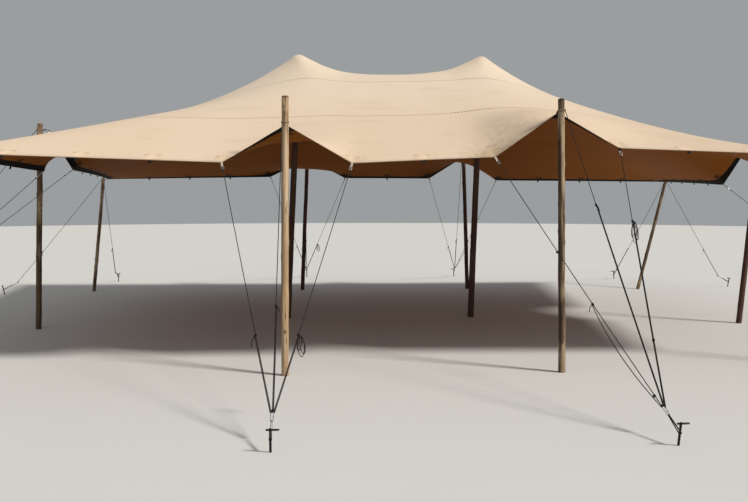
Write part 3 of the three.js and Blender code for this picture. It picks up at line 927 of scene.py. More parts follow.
class ClothNet:
    """A net of elastic threads that finds the shape of the cloth by relaxing."""

    PUSH = 0.4
    MOMENTUM = 0.99

    def __init__(self, cut: CutCloth, u: np.ndarray, v: np.ndarray, points: np.ndarray) -> None:
        """Keeps the net's lines and points.

        Args:
            cut: The cut of the cloth.
            u: Places of the lines across the length.
            v: Places of the lines across the width.
            points: One point for each crossing, as an array of u by v by 3.
        """
        self.cut = cut
        self.u = u
        self.v = v
        self.points = points
        self.free = np.ones(points.shape[:2])

    @classmethod
    def flat(cls, cut: CutCloth) -> "ClothNet":
        """The coarse net, laid out level."""
        u = cls.lines(cut.length, cut.long_steps * cut.cells_per_step, cut.heads, cut.head_half)
        v = cls.lines(cut.width, cut.short_steps * cut.cells_per_step, (0.0,), cut.head_half)
        across, along = np.meshgrid(v, u)
        points = np.dstack([along, across, np.full_like(along, cut.start_height)])
        return cls(cut, u, v, points)

    @staticmethod
    def lines(total: float, cells: int, heads: Iterable[float], half: float) -> np.ndarray:
        """Even lines, and one on each side of every pole head."""
        even = [-total / 2 + total * k / cells for k in range(cells + 1)]
        beside = [head + side * half for head in heads for side in (-1, 1)]
        return np.array(sorted(even + beside))

    def nearest(self, u: float, v: float) -> tuple[int, int]:
        """The crossing nearest to a place on the cloth."""
        return int(np.abs(self.u - u).argmin()), int(np.abs(self.v - v).argmin())

    def hold(self) -> None:
        """Fixes the tie points and the cloth on the two pole heads."""
        for side, rows in self.cut.rigging.items():
            for step, x, y, z in rows:
                index = self.nearest(*self.cut.tie(side, step))
                self.points[index] = (x, y, z)
                self.free[index] = 0.0
        for centre, x in zip(self.cut.heads, self.cut.peak_x):
            for i in np.flatnonzero(np.abs(self.u - centre) < self.cut.head_half + GAP):
                for j in np.flatnonzero(np.abs(self.v) < self.cut.head_half + GAP):
                    self.points[i, j] = (x + self.u[i] - centre, self.v[j], self.cut.peak_height)
                    self.free[i, j] = 0.0

    @staticmethod
    def shares(lines: np.ndarray) -> np.ndarray:
        """Width of cloth that each line stands for."""
        gaps = np.diff(lines)
        return (np.append(0.0, gaps) + np.append(gaps, 0.0)) / 2

    def threads(self) -> list[tuple[Any, Any, np.ndarray, np.ndarray]]:
        """Each family of threads: its two ends, stiffness and rest length."""
        cut = self.cut
        every = slice(None)
        low = slice(0, -1)
        high = slice(1, None)
        du = np.diff(self.u)[:, None]
        dv = np.diff(self.v)[None, :]
        shape_u = (len(self.u) - 1, len(self.v))
        shape_v = (len(self.u), len(self.v) - 1)
        bias = cut.bias_stiffness * np.minimum(du, dv)
        across = np.hypot(du, dv) * cut.rest_bias
        middles = (self.u[:-1, None] + self.u[1:, None]) / 2
        shares_across = np.interp(self.u, cut.across_places, cut.rest_across)[:, None]
        families = [
            ((low, every), (high, every), np.broadcast_to(self.shares(self.v)[None, :], shape_u),
             du * cut.rest_along(middles, self.v[None, :])),
            ((every, low), (every, high), np.broadcast_to(self.shares(self.u)[:, None], shape_v),
             dv * shares_across),
            ((low, low), (high, high), bias, across),
            ((high, low), (low, high), bias, across),
        ]
        for rim in (slice(0, 1), slice(-1, None)):
            edge_u = du * cut.rest_edge
            edge_v = dv * cut.rest_edge
            families.append(((low, rim), (high, rim), np.full_like(edge_u, cut.edge_stiffness), edge_u))
            families.append(((rim, low), (rim, high), np.full_like(edge_v, cut.edge_stiffness), edge_v))
        return families

    def relax(self, rounds: int) -> None:
        """Moves the free points towards balance; slack threads pull nothing.

        Args:
            rounds: How many steps are taken.
        """
        self.hold()
        families = self.threads()
        firmness = np.zeros(self.free.shape)
        for start, end, stiffness, rest in families:
            firmness[start] += stiffness / rest
            firmness[end] += stiffness / rest
        push = (self.free * self.PUSH / firmness)[..., None]
        speeds = np.zeros_like(self.points)
        for _ in range(rounds):
            pulls = np.zeros_like(self.points)
            for start, end, stiffness, rest in families:
                span = self.points[end] - self.points[start]
                length = np.sqrt((span * span).sum(axis=2))
                force = span * (stiffness * np.maximum(0.0, length / rest - 1) / length)[..., None]
                pulls[start] += force
                pulls[end] -= force
            speeds = speeds * self.MOMENTUM + pulls * push
            self.points += speeds

    def finer(self, times: int) -> "ClothNet":
        """The same surface with more lines between the old ones."""
        steps_u = np.linspace(0, len(self.u) - 1, (len(self.u) - 1) * times + 1)
        steps_v = np.linspace(0, len(self.v) - 1, (len(self.v) - 1) * times + 1)
        u = np.interp(steps_u, np.arange(len(self.u)), self.u)
        v = np.interp(steps_v, np.arange(len(self.v)), self.v)
        return ClothNet(self.cut, u, v, self.sample(u, v))

    def soften(self, reach: float, rounds: int) -> None:
        """Evens out the bunched threads round the two pole heads.

        Args:
            reach: How far from a head this goes, on the flat cloth.
            rounds: How often each point moves towards the middle of its neighbours.
        """
        across, along = np.meshgrid(self.v, self.u)
        near = np.zeros_like(along)
        for centre in self.cut.heads:
            near = np.maximum(near, 1 - np.hypot(along - centre, across) / reach)
        weight = (near * self.free)[1:-1, 1:-1, None]
        pull_u = 1 / np.diff(self.u)[:, None, None]
        pull_v = 1 / np.diff(self.v)[None, :, None]
        for _ in range(rounds):
            inner = self.points[1:-1, 1:-1]
            middle_u = self.points[:-2, 1:-1] * pull_u[:-1] + self.points[2:, 1:-1] * pull_u[1:]
            middle_v = self.points[1:-1, :-2] * pull_v[:, :-1] + self.points[1:-1, 2:] * pull_v[:, 1:]
            middle = middle_u / (pull_u[:-1] + pull_u[1:]) + middle_v / (pull_v[:, :-1] + pull_v[:, 1:])
            self.points[1:-1, 1:-1] = inner + (middle / 2 - inner) * weight

    def dome(self, drop: float) -> None:
        """Rounds the flat cloth on each pole head over its edge."""
        half = self.cut.head_half
        across, along = np.meshgrid(self.v, self.u)
        for centre in self.cut.heads:
            away = np.hypot(along - centre, across) / half
            on_head = (np.abs(along - centre) < half + GAP) & (np.abs(across) < half + GAP)
            self.points[..., 2] -= np.where(on_head, drop * away ** 2, 0.0)

    def swell(self, fold: "Fold") -> None:
        """Lifts the cloth along one soft fold."""
        along = fold.share(self.u, fold.start, fold.crest, fold.end)
        across = fold.share(self.v, fold.edge, fold.high, fold.inner)
        self.points[..., 2] += fold.rise * along[:, None] * across[None, :] * self.free

    def sample(self, u: np.ndarray, v: np.ndarray) -> np.ndarray:
        """Points of the surface at lines of their own choice."""
        along = np.apply_along_axis(lambda line: np.interp(u, self.u, line), 0, self.points)
        return np.apply_along_axis(lambda line: np.interp(v, self.v, line), 1, along)

    def normals(self) -> np.ndarray:
        """Upward unit normals at the crossings."""
        along = np.gradient(self.points, self.u, axis=0)
        across = np.gradient(self.points, self.v, axis=1)
        normal = np.cross(along, across)
        return normal / np.linalg.norm(normal, axis=2, keepdims=True)

    def at(self, u: float, v: float) -> tuple[Vector, Vector]:
        """A point of the surface and the normal there.

        Args:
            u: Place along the flat cloth.
            v: Place across it.

        Returns:
            The point and the unit normal.
        """
        i = min(max(int(np.searchsorted(self.u, u)), 1), len(self.u) - 1)
        j = min(max(int(np.searchsorted(self.v, v)), 1), len(self.v) - 1)
        s = (u - self.u[i - 1]) / (self.u[i] - self.u[i - 1])
        t = (v - self.v[j - 1]) / (self.v[j] - self.v[j - 1])
        corner = self.points[i - 1:i + 1, j - 1:j + 1]
        turn = corner[1, 0] if s > t else corner[0, 1]
        more, less = max(s, t), min(s, t)
        place = corner[0, 0] + (turn - corner[0, 0]) * (more - less) + (corner[1, 1] - corner[0, 0]) * less
        along = (corner[1] - corner[0]).sum(axis=0)
        across = (corner[:, 1] - corner[:, 0]).sum(axis=0)
        return Vector(place), Vector(np.cross(along, across)).normalized()

    def outward(self, side: Side, step: int) -> Vector:
        """Unit vector in the surface that leads off the cloth at a tie point.

        Args:
            side: The side of the cloth.
            step: Number of the tie point, from the middle of the side.

        Returns:
            The vector.
        """
        i, j = self.nearest(*self.cut.tie(side, step))
        here = Vector(self.points[i, j])
        total = Vector()
        for a, b in ((i - 1, j), (i + 1, j), (i, j - 1), (i, j + 1)):
            if 0 <= a < len(self.u) and 0 <= b < len(self.v):
                total += (Vector(self.points[a, b]) - here).normalized()
        normal = Vector(self.normals()[i, j])
        total -= normal * total.dot(normal)
        return -total.normalized()


@dataclass(frozen=True)
class Pad:
    """A kind of small piece that is sewn on inside the edge at the tie points.

    Its lift is the height of its near face over the surface, below the cloth if negative. Its
    taper is the share of its length that is left at its inner side.
    """

    name: str
    inset: float
    length: float
    depth: float
    lift: float
    thick: float
    taper: float = 1.0
    STEPS: ClassVar[int] = 8
    ROWS: ClassVar[int] = 4
    RIM: ClassVar[float] = 0.35

    def faces(self, start: int) -> list[tuple[int, ...]]:
        """The faces of a closed pad whose points begin at a number.

        Args:
            start: Number of its first point.

        Returns:
            The numbers of each face's points.
        """
        line = self.STEPS + 1
        layer = (self.ROWS + 1) * line
        faces = []
        for row in range(self.ROWS):
            for k in range(self.STEPS):
                a = start + row * line + k
                b, c, d = a + 1, a + line + 1, a + line
                faces += [(a, b, c, d), (a + layer, d + layer, c + layer, b + layer)]
        ring = list(range(line))
        ring += [row * line + self.STEPS for row in range(1, self.ROWS + 1)]
        ring += [self.ROWS * line + k for k in range(self.STEPS - 1, -1, -1)]
        ring += [row * line for row in range(self.ROWS - 1, 0, -1)]
        ring = [start + k for k in ring]
        return faces + [(a, a + layer, b + layer, b) for a, b in zip(ring, ring[1:] + ring[:1])]


class Canopy:
    """The cloth, its hem tape and the pads at its tie points."""

    THICKNESS = 0.004
    FINER = 5
    COARSE_ROUNDS = 3000
    FINE_ROUNDS = 900
    HEAD_REACH = 0.42
    HEAD_ROUNDS = 60
    HEAD_DROP = 0.014
    TAPE_FRONT = 0.045
    TAPE_BACK = 0.08
    TAPE_ENDS = 0.10
    TAPE_THICKNESS = 0.0025
    TAPE_RINGS = 4
    TAPE_PITCH = 0.04
    CORNER_INSET = 0.06
    DRIP_AND_SHADE_WIDTH = 0.8
    RIM_ANGLE = 60.0
    folds = (
        Fold(0.55, 1.60, 2.95, -3.75, -3.05, -2.15, 0.15),
        Fold(-1.43, -0.98, 0.00, -1.60, 0.00, 1.60, -0.045),
        Fold(-0.95, 0.10, 1.00, -1.60, 0.00, 1.60, 0.045),
        Fold(0.60, 1.00, 1.43, -1.60, 0.00, 1.60, -0.02),
        Fold(-3.60, -1.90, 0.10, -3.75, -2.40, -1.10, -0.06),
    )
    # each is a tie step, the most and the reach; (1.5, 0.24, 0.8) is painted shade, a broad darkening in the
    # hollow between the right low point and the right raised tip, and the rest are dirt where water drips off
    drips_and_shade = ((-3, 0.30, 0.15), (-1, 0.42, 0.14), (1, 0.8, 0.26), (1.5, 0.24, 0.8), (3, 0.45, 0.13))

    def __init__(self, cut: CutCloth, finishes: Finishes) -> None:
        """Finds the shape of the cloth.

        Args:
            cut: The cut of the cloth.
            finishes: The tent's materials.
        """
        self.cut = cut
        self.finishes = finishes
        self.coarse = ClothNet.flat(cut)
        self.coarse.relax(self.COARSE_ROUNDS)
        self.net = self.coarse.finer(self.FINER)
        self.net.relax(self.FINE_ROUNDS)
        self.net.dome(self.HEAD_DROP)
        self.net.soften(self.HEAD_REACH, self.HEAD_ROUNDS)
        for fold in self.folds:
            self.net.swell(fold)

    def sheet(self) -> Object:
        """The cloth as a thin closed mesh, sand outside and, below, a dark brown painted-shade copy of the
        same cloth.
        """
        net = self.net
        rows, columns = net.points.shape[:2]
        count = rows * columns
        lower = net.points - net.normals() * self.THICKNESS
        points = np.concatenate([net.points.reshape(-1, 3), lower.reshape(-1, 3)])
        index = np.arange(count).reshape(rows, columns)
        near, right = index[:-1, :-1], index[1:, :-1]
        far, left = index[1:, 1:], index[:-1, 1:]
        skin = np.stack([near, right, far, near, far, left], axis=-1).reshape(-1, 3)
        rim = np.concatenate([index[:, 0], index[-1, 1:], index[-2::-1, -1], index[0, -2:0:-1]])
        after = np.roll(rim, -1)
        walls = np.stack([rim, rim + count, after + count, rim, after + count, after], axis=-1).reshape(-1, 3)
        faces = np.concatenate([skin, skin[:, ::-1] + count, walls])
        sheet = Bench.mesh("canopy", points, faces, (self.finishes.outside, self.finishes.inside))
        under = np.zeros(len(faces), dtype=np.int32)
        under[len(skin):2 * len(skin)] = 1
        sheet.data.polygons.foreach_set("material_index", under)
        across, along = np.meshgrid(net.v, net.u)
        flat = np.dstack([along, across, np.zeros_like(along)]).reshape(-1, 3)
        Bench.store(sheet, "cloth", np.concatenate([flat, flat]))
        Bench.store(sheet, "soil_and_shade", np.tile(self.soil_and_shade(flat), 2))
        sheet.data.polygons.foreach_set("use_smooth", np.ones(len(faces), dtype=bool))
        Bench.smooth(sheet, self.RIM_ANGLE)
        return sheet

    def soil_and_shade(self, flat: np.ndarray) -> np.ndarray:
        """How soiled and shaded the cloth is: dirt most at the low points, where water drips off, and a broad
        painted shade in the hollow between the right low point and the right raised tip, on front and back.

        Args:
            flat: Places on the flat cloth, as rows.

        Returns:
            One share for each place.
        """
        dirt_and_shade = np.zeros(len(flat))
        for side in (Side.FRONT, Side.BACK):
            for step, most, reach in self.drips_and_shade:
                u, v = self.cut.tie(side, step)
                away = np.hypot(flat[:, 0] - u, (flat[:, 1] - v) * self.DRIP_AND_SHADE_WIDTH)
                dirt_and_shade = np.maximum(dirt_and_shade, np.exp(-(away / reach) ** 2) * most)
        return dirt_and_shade

    def rim(self, share: float, pitch: float) -> list[tuple[float, float]]:
        """Places along a ring inside the edge, at a share of the tape's width, with mitred corners.

        Args:
            share: Share of the tape's width.
            pitch: Distance between the places.

        Returns:
            The places on the flat cloth.
        """
        half_u = self.cut.length / 2
        half_v = self.cut.width / 2
        shrink_u = 1 - self.TAPE_ENDS * share / half_u
        shrink_front = 1 - self.TAPE_FRONT * share / half_v
        shrink_back = 1 - self.TAPE_BACK * share / half_v
        ring = []
        corners = ((-half_u, -half_v), (half_u, -half_v), (half_u, half_v), (-half_u, half_v))
        for start, end in zip(corners, corners[1:] + corners[:1]):
            steps = round(math.dist(start, end) / pitch)
            for k in range(steps):
                u = start[0] + (end[0] - start[0]) * k / steps
                v = start[1] + (end[1] - start[1]) * k / steps
                ring.append((u * shrink_u, v * (shrink_front if v < 0 else shrink_back)))
        return ring

    def hem(self) -> Object:
        """The dark tape under the edge, all the way round."""
        rings = [self.rim(k / self.TAPE_RINGS, self.TAPE_PITCH) for k in range(self.TAPE_RINGS + 1)]
        count = len(rings[0])
        points, weave = [], []
        for depth in (self.THICKNESS + GAP, self.THICKNESS + GAP + self.TAPE_THICKNESS):
            for number, ring in enumerate(rings):
                for k, (u, v) in enumerate(ring):
                    place, normal = self.net.at(u, v)
                    points.append(place - normal * depth)
                    weave.append((k * self.TAPE_PITCH, number * self.TAPE_BACK / self.TAPE_RINGS, 0.0))
        layer = count * len(rings)
        faces = []
        for k in range(count):
            after = (k + 1) % count
            for ring in range(self.TAPE_RINGS):
                a, b = ring * count + k, ring * count + after
                c, d = a + count, b + count
                faces.append((a, b, d, c))
                faces.append((a + layer, c + layer, d + layer, b + layer))
            last = self.TAPE_RINGS * count
            faces.append((k, k + layer, after + layer, after))
            faces.append((last + k, last + after, last + after + layer, last + k + layer))
        tape = Bench.mesh("hem_tape", points, faces, (self.finishes.hem,))
        Bench.store(tape, "weave", weave)
        Bench.smooth(tape)
        return tape

    def pad(self, kind: Pad, u: float, v: float, turned: bool) -> Iterator[tuple[Vector, Triple, Triple]]:
        """The points of one pad that follows the surface.

        Args:
            kind: What kind of pad it is.
            u: Place of its middle along the cloth.
            v: Place of its middle across the cloth.
            turned: Whether its length runs along v, as on the short sides.

        Yields:
            Each point, its own coordinates and its place on the flat cloth.
        """
        inner_u = -math.copysign(1.0, u)
        inner_v = -math.copysign(1.0, v)
        for rise in (0.0, math.copysign(kind.thick, kind.lift)):
            for row in range(kind.ROWS + 1):
                deep = (row / kind.ROWS - 0.5) * kind.depth
                width = kind.length * (1 - (1 - kind.taper) * row / kind.ROWS)
                for k in range(kind.STEPS + 1):
                    away = (k / kind.STEPS - 0.5) * width
                    share = kind.RIM if row in (0, kind.ROWS) or k in (0, kind.STEPS) else 1.0
                    spot = (u + inner_u * deep, v + away) if turned else (u + away, v + inner_v * deep)
                    place, normal = self.net.at(*spot)
                    yield place + normal * (kind.lift + rise * share), (away, deep, 0.0), (*spot, 0.0)

    def pads(self, kind: Pad, ties: Iterable[tuple[Side, int]], material: Material, slot: Slot) -> Object:
        """One piece of many pads, a little inside the edge at each tie point.

        Args:
            kind: What kind of pad it is.
            ties: The tie points.
            material: Its material.
            slot: The record's slot.

        Returns:
            The piece.
        """
        points: list[Vector] = []
        own: list[Triple] = []
        flat: list[Triple] = []
        faces: list[tuple[int, ...]] = []
        for side, step in ties:
            faces += kind.faces(len(points))
            turned = side in (Side.LEFT, Side.RIGHT)
            place = self.inset_place(kind.inset, turned, *self.cut.tie(side, step))
            for point, mark, spot in self.pad(kind, *place, turned):
                points.append(point)
                own.append(mark)
                flat.append(spot)
        piece = Bench.mesh(kind.name, points, faces, (material,))
        Bench.store(piece, "weave", own)
        Bench.store(piece, "cloth", flat)
        Bench.store(piece, "soil_and_shade", self.soil_and_shade(np.array(flat)))
        Bench.tidy(piece)
        Bench.smooth(piece)
        return Bench.finish(piece, slot)

    def inset_place(self, inset: float, turned: bool, u: float, v: float) -> tuple[float, float]:
        """The nearest place that is inside the edge, and a little off the corners."""
        limit_u = self.cut.length / 2 - inset - (0.0 if turned else self.CORNER_INSET)
        limit_v = self.cut.width / 2 - inset - (self.CORNER_INSET if turned else 0.0)
        return max(-limit_u, min(limit_u, u)), max(-limit_v, min(limit_v, v))

    def build(self) -> list[Object]:
        """Builds the cloth and what is sewn to it, the cloth first."""
        below = -(self.THICKNESS + GAP)
        under_tape = below - GAP - self.TAPE_THICKNESS
        outer = Pad("tie_patches", inset=0.086, length=0.17, depth=0.14, lift=0.0009, thick=0.0012)
        inner = Pad("tie_patches_below", inset=0.135, length=0.09, depth=0.055, lift=below, thick=0.0014)
        webs = Pad("tie_reinforcements", inset=0.05, length=0.15, depth=0.09, lift=under_tape, thick=0.002,
                   taper=0.25)
        ties = self.cut.all_ties()
        return [
            Bench.finish(self.sheet(), Slot.CANOPY, *(f"canopy_panel_{k}" for k in range(1, 6))),
            Bench.finish(self.hem(), Slot.HEM, "hem_band"),
            self.pads(outer, ties, self.finishes.patch, Slot.CANOPY),
            self.pads(inner, ties, self.finishes.shaded_under_patch, Slot.CANOPY),
            self.pads(webs, self.cut.held(), self.finishes.black_webbing, Slot.HEM),
        ]


def pole_nodes() -> list[str]:
    """The names of the twelve pole solids."""
    return sorted(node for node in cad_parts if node.startswith("pole_") and "cap" not in node)


@dataclass
class Upright:
    """A leaning round bar that stands on the ground, read from its solid."""

    node: str
    foot: Vector = field(init=False)
    top: Vector = field(init=False)
    radius: float = field(init=False)

    def __post_init__(self) -> None:
        """Reads the foot, the top and the radius at the foot."""
        points = Bench.points(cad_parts[self.node])
        low = points[points[:, 2] < GAP]
        high = points[points[:, 2] > points[:, 2].max() - GAP]
        self.foot = Vector((low.max(axis=0) + low.min(axis=0)) / 2)
        self.top = Vector((high.max(axis=0) + high.min(axis=0)) / 2)
        self.radius = float((low.max(axis=0) - low.min(axis=0))[0] / 2)

    def shaft(self, sides: int, radius: float, cuts: int, taper: float = 1.0) -> Object:
        """Leans a cylinder from foot to top, and leaves it open in edit mode.

        Args:
            sides: Its number of sides.
            radius: Its radius at the foot.
            cuts: How many rings are cut into it.
            taper: Share of its radius that is left at the top.

        Returns:
            The cylinder.
        """
        height = self.top.z
        lean = self.top - self.foot
        bar = Bench.cylinder(sides, radius, height, (self.foot.x, self.foot.y, height / 2))
        Bench.edit(bar)
        Bench.pick(bar, Pick.VERT, lambda point: point.co.z > height / 2)
        bpy.ops.transform.resize(value=(taper, taper, 1), center_override=(self.foot.x, self.foot.y, height))
        bpy.ops.transform.translate(value=(lean.x, lean.y, 0))
        Bench.pick(bar, Pick.EDGE, lambda edge: abs(edge.verts[0].co.z - edge.verts[1].co.z) > height / 2)
        bpy.ops.mesh.subdivide(number_cuts=cuts)
        return bar


@dataclass
class Pole(Upright):
    """One round pole with its knots, stains, painted shade strips and bends."""

    number: int
    tone: Material
    slot: Slot
    stains_and_shade: StainsAndShade = ()
    sides: int = 28
    ring_pitch: float = 0.015
    taper: float = 0.94
    rim: float = 0.008
    rim_drop: float = 0.7
    crown: float = 0.86
    bark: float = 0.8
    wobble: float = 0.010
    wobble_scale: float = 0.8
    lumps: float = 0.005
    lump_scale: float = 0.14
    knot_count: int = 8
    knot_sizes: tuple[float, float] = (0.010, 0.019)
    knot_rise: float = 0.005
    knot_spread: float = 1.8
    grain_shift: float = 7.3

    def axis(self, height: float) -> Vector:
        """The point of the pole's middle line at a height."""
        return self.foot.lerp(self.top, height / self.top.z)

    def thick(self, height: float) -> float:
        """The pole's radius at a height."""
        return self.radius * (1 - (1 - self.taper) * height / self.top.z)

    def away(self, place: Vector) -> float:
        """Distance of a point from the middle line."""
        return (place - self.axis(place.z)).length

    def build(self) -> Object:
        """Turns a cylinder into the pole."""
        height = self.top.z
        pole = self.shaft(self.sides, self.radius, int(height / self.ring_pitch), self.taper)
        Bench.pick(pole, Pick.FACE, lambda face: len(face.verts) > 4)
        bpy.ops.mesh.inset(thickness=self.rim)
        outer = self.radius * self.crown
        Bench.pick(pole, Pick.VERT, lambda point: point.co.z > height - GAP and self.away(point.co) > outer)
        bpy.ops.transform.translate(value=(0, 0, -self.rim * self.rim_drop))
        bpy.ops.object.mode_set(mode="OBJECT")
        self.bend(pole)
        self.mark(pole)
        Bench.dress(pole, self.node.replace("pole_", "round_pole_"), self.tone)
        return Bench.finish(pole, self.slot, self.node)

    def bend(self, pole: Object) -> None:
        """Gives the pole its slight crooks and swellings."""
        crook = bpy.data.textures.new(f"crook_{self.number}", "CLOUDS")
        crook.noise_scale = self.wobble_scale
        swelling = bpy.data.textures.new(f"swelling_{self.number}", "CLOUDS")
        swelling.noise_scale = self.lump_scale
        Bench.apply(pole, "DISPLACE", texture=crook, direction="X", strength=self.wobble)
        Bench.apply(pole, "DISPLACE", texture=crook, direction="Y", strength=self.wobble)
        Bench.apply(pole, "DISPLACE", texture=swelling, direction="NORMAL", strength=self.lumps)
        points = Bench.points(pole)
        points[:, 2] = np.clip(points[:, 2], 0.0, self.top.z)
        pole.data.vertices.foreach_set("co", points.ravel())

    def mark(self, pole: Object) -> None:
        """Swells the knots, and stores the coordinates that the grain, knots, stains and painted shade strips
        follow.

        Args:
            pole: The pole's mesh object.
        """
        draw = random.Random(self.number)
        points = Bench.points(pole)
        height = points[:, 2]
        middle = np.array(self.foot)[None, :] + np.outer(height / self.top.z, np.array(self.top - self.foot))
        local = points - middle
        angle = np.arctan2(local[:, 1], local[:, 0])
        radius = np.hypot(local[:, 0], local[:, 1])
        knots = np.zeros(len(points))
        swell = np.zeros(len(points))

        def across(turn: float) -> np.ndarray:
            """Distance round the pole from a direction."""
            return ((angle - turn + math.pi) % (2 * math.pi) - math.pi) * self.radius

        for _ in range(self.knot_count):
            level = draw.uniform(0.15, self.top.z - 0.1)
            turn = draw.uniform(-math.pi, math.pi)
            size = draw.uniform(*self.knot_sizes)
            away = np.hypot(height - level, across(turn))
            knots = np.maximum(knots, np.exp(-(away / size) ** 2))
            swell += self.knot_rise * np.exp(-(away / (size * self.knot_spread)) ** 2)
        for drop, turn, wide, tall, depth in self.stains_and_shade:
            away = np.hypot((height - self.top.z + drop) / tall, across(turn) / wide)
            stain_and_shade_mark = depth * np.exp(-away ** 4)
            knots = np.where(np.abs(stain_and_shade_mark) > np.abs(knots), stain_and_shade_mark, knots)
        grown = 1 + np.where(radius > self.radius * self.bark, swell / np.maximum(radius, GAP), 0.0)
        points[:, :2] = middle[:, :2] + local[:, :2] * grown[:, None]
        pole.data.vertices.foreach_set("co", points.ravel())
        pole.data.update()
        local[:, 2] = height + self.number * self.grain_shift
        Bench.store(pole, "grain", local)
        Bench.store(pole, "knot", knots)


@dataclass
class PoleSet:
    """All twelve poles and the two caps on the centre ones.

    A stain is its drop from the top, its direction, its half width and half height, and its
    depth: dark if positive, bare wood if negative. The long dark strips down the left side of
    the two front poles are painted shade.
    """

    finishes: Finishes
    poles: dict[str, Pole] = field(default_factory=dict)
    cap_skirt: float = 0.075
    cap_wall: float = 0.012
    cap_round: float = 0.036
    stains_and_shade: dict[str, StainsAndShade] = field(default_factory=lambda: {
        "front_left": ((0.72, -1.2, 0.032, 0.45, -0.8), (0.010, -1.7, 0.20, 0.018, 0.8),
                       (0.04, -1.35, 0.016, 0.02, 0.8), (0.18, -1.75, 0.011, 0.03, 1.0),
                       (0.235, -1.82, 0.008, 0.08, 0.9), (0.29, -1.68, 0.010, 0.025, 1.0),
                       # (1.4, -2.75, ...) is painted shade: a dark strip down the pole's left side
                       (1.4, -2.75, 0.020, 1.45, 0.75), (1.15, -1.25, 0.008, 0.05, 0.7),
                       (2.2, -1.4, 0.009, 0.05, 0.8), (2.45, -1.2, 0.008, 0.03, 0.8),
                       (2.6, -1.7, 0.10, 0.55, 0.42)),
        "front_right": ((0.60, -1.2, 0.034, 0.50, -0.8), (0.06, -1.6, 0.14, 0.11, 0.68),
                        # (0.6, -2.5, ...), (1.5, -2.3, ...) and (2.3, -2.4, ...) are painted shade down the
                        # pole's left side
                        (0.01, -1.6, 0.20, 0.02, 0.9), (0.6, -2.5, 0.022, 0.5, 0.85),
                        (1.5, -2.3, 0.026, 0.35, 0.8), (2.3, -2.4, 0.028, 0.4, 0.8),
                        (2.0, -1.7, 0.12, 0.7, 0.42), (0.24, -1.0, 0.010, 0.03, 0.9)),
    })

    def build(self) -> None:
        """Builds the poles by name, then the caps."""
        worn = self.finishes.worn_wood
        looks = {
            "front_left": (self.finishes.pale_wood, Slot.PALE_WOOD),
            "front_right": (worn, Slot.PALE_WOOD),
            "side_left": (worn, Slot.DARK_WOOD),
        }
        for number, node in enumerate(pole_nodes()):
            short = node.removeprefix("pole_")
            # the back, centre and right side poles take the darker wood, which is painted shade
            usual = worn if short.startswith("corner") else self.finishes.shaded_wood
            tone, slot = looks.get(short, (usual, Slot.DARK_WOOD))
            self.poles[short] = Pole(node, number, tone, slot, self.stains_and_shade.get(short, ()))
            self.poles[short].build()
        for side in ("left", "right"):
            self.cap(side)

    def cap(self, side: str) -> Object:
        """A domed rubber cap between a centre pole and the cloth.

        Args:
            side: Which of the two, left or right.

        Returns:
            The cap.
        """
        low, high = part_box(f"pole_cap_{side}")
        top = self.poles[f"centre_{side}"].top
        middle = (top.x, top.y, (low[2] + high[2]) / 2)
        cap = Bench.cylinder(48, (high[0] - low[0]) / 2, high[2] - low[2], middle)
        Bench.edit(cap)
        Bench.pick(cap, Pick.FACE, lambda face: len(face.verts) > 4 and face.normal.z < -0.5)
        bpy.ops.mesh.inset(thickness=self.cap_wall)
        Bench.pick(cap, Pick.FACE, lambda face: abs(face.normal.z + 1) < 0.01 and len(face.verts) == 4)
        bpy.ops.mesh.extrude_region_move(TRANSFORM_OT_translate={"value": (0, 0, -self.cap_skirt)})
        Bench.pick(cap, Pick.EDGE, lambda edge: all(point.co.z > high[2] - GAP for point in edge.verts)
                   and len(edge.link_faces) == 2 and any(len(face.verts) == 4 for face in edge.link_faces))
        bpy.ops.mesh.bevel(offset=self.cap_round, segments=6)
        bpy.ops.object.mode_set(mode="OBJECT")
        Bench.dress(cap, f"rubber_cap_{side}", self.finishes.rubber)
        return Bench.finish(cap, Slot.CAP, f"pole_cap_{side}")


class Sweep:
    """Collects lengths swept along paths into one mesh, with coordinates along and around them."""

    ATTRIBUTE = "lay"
    SHARP = 50.0

    def __init__(self) -> None:
        """Starts with nothing."""
        self.points: list[Vector] = []
        self.faces: list[tuple[int, ...]] = []
        self.marks: list[Triple] = []

    def sweep(self, path: Sequence[Vector], across: Vector, ring: Sequence[Triple], carried: bool) -> None:
        """Adds one closed length along a path.

        Args:
            path: The points of its middle line.
            across: The direction of its width at the start.
            ring: Its corners: how far across, how far up, and their mark.
            carried: Whether its width turns with the path, or keeps to the first direction.
        """
        start = len(self.points)
        sides = len(ring)
        along = 0.0
        for k, place in enumerate(path):
            ahead = (path[min(k + 1, len(path) - 1)] - path[max(k - 1, 0)]).normalized()
            wide = (across - ahead * across.dot(ahead)).normalized()
            across = wide if carried else across
            up = ahead.cross(wide)
            along += (place - path[k - 1]).length if k else 0.0
            for a, b, mark in ring:
                self.points.append(place + wide * a + up * b)
                self.marks.append((along, mark, 0.0))
        for k in range(len(path) - 1):
            for side in range(sides):
                a = start + k * sides + side
                b = start + k * sides + (side + 1) % sides
                self.faces.append((a, b, b + sides, a + sides))
        last = start + (len(path) - 1) * sides
        self.faces.append(tuple(start + side for side in reversed(range(sides))))
        self.faces.append(tuple(last + side for side in range(sides)))

    def piece(self, name: str, material: Material) -> Object:
        """All that was collected, as one object."""
        whole = Bench.mesh(name, self.points, self.faces, (material,))
        Bench.store(whole, self.ATTRIBUTE, self.marks)
        Bench.smooth(whole, self.SHARP)
        return whole


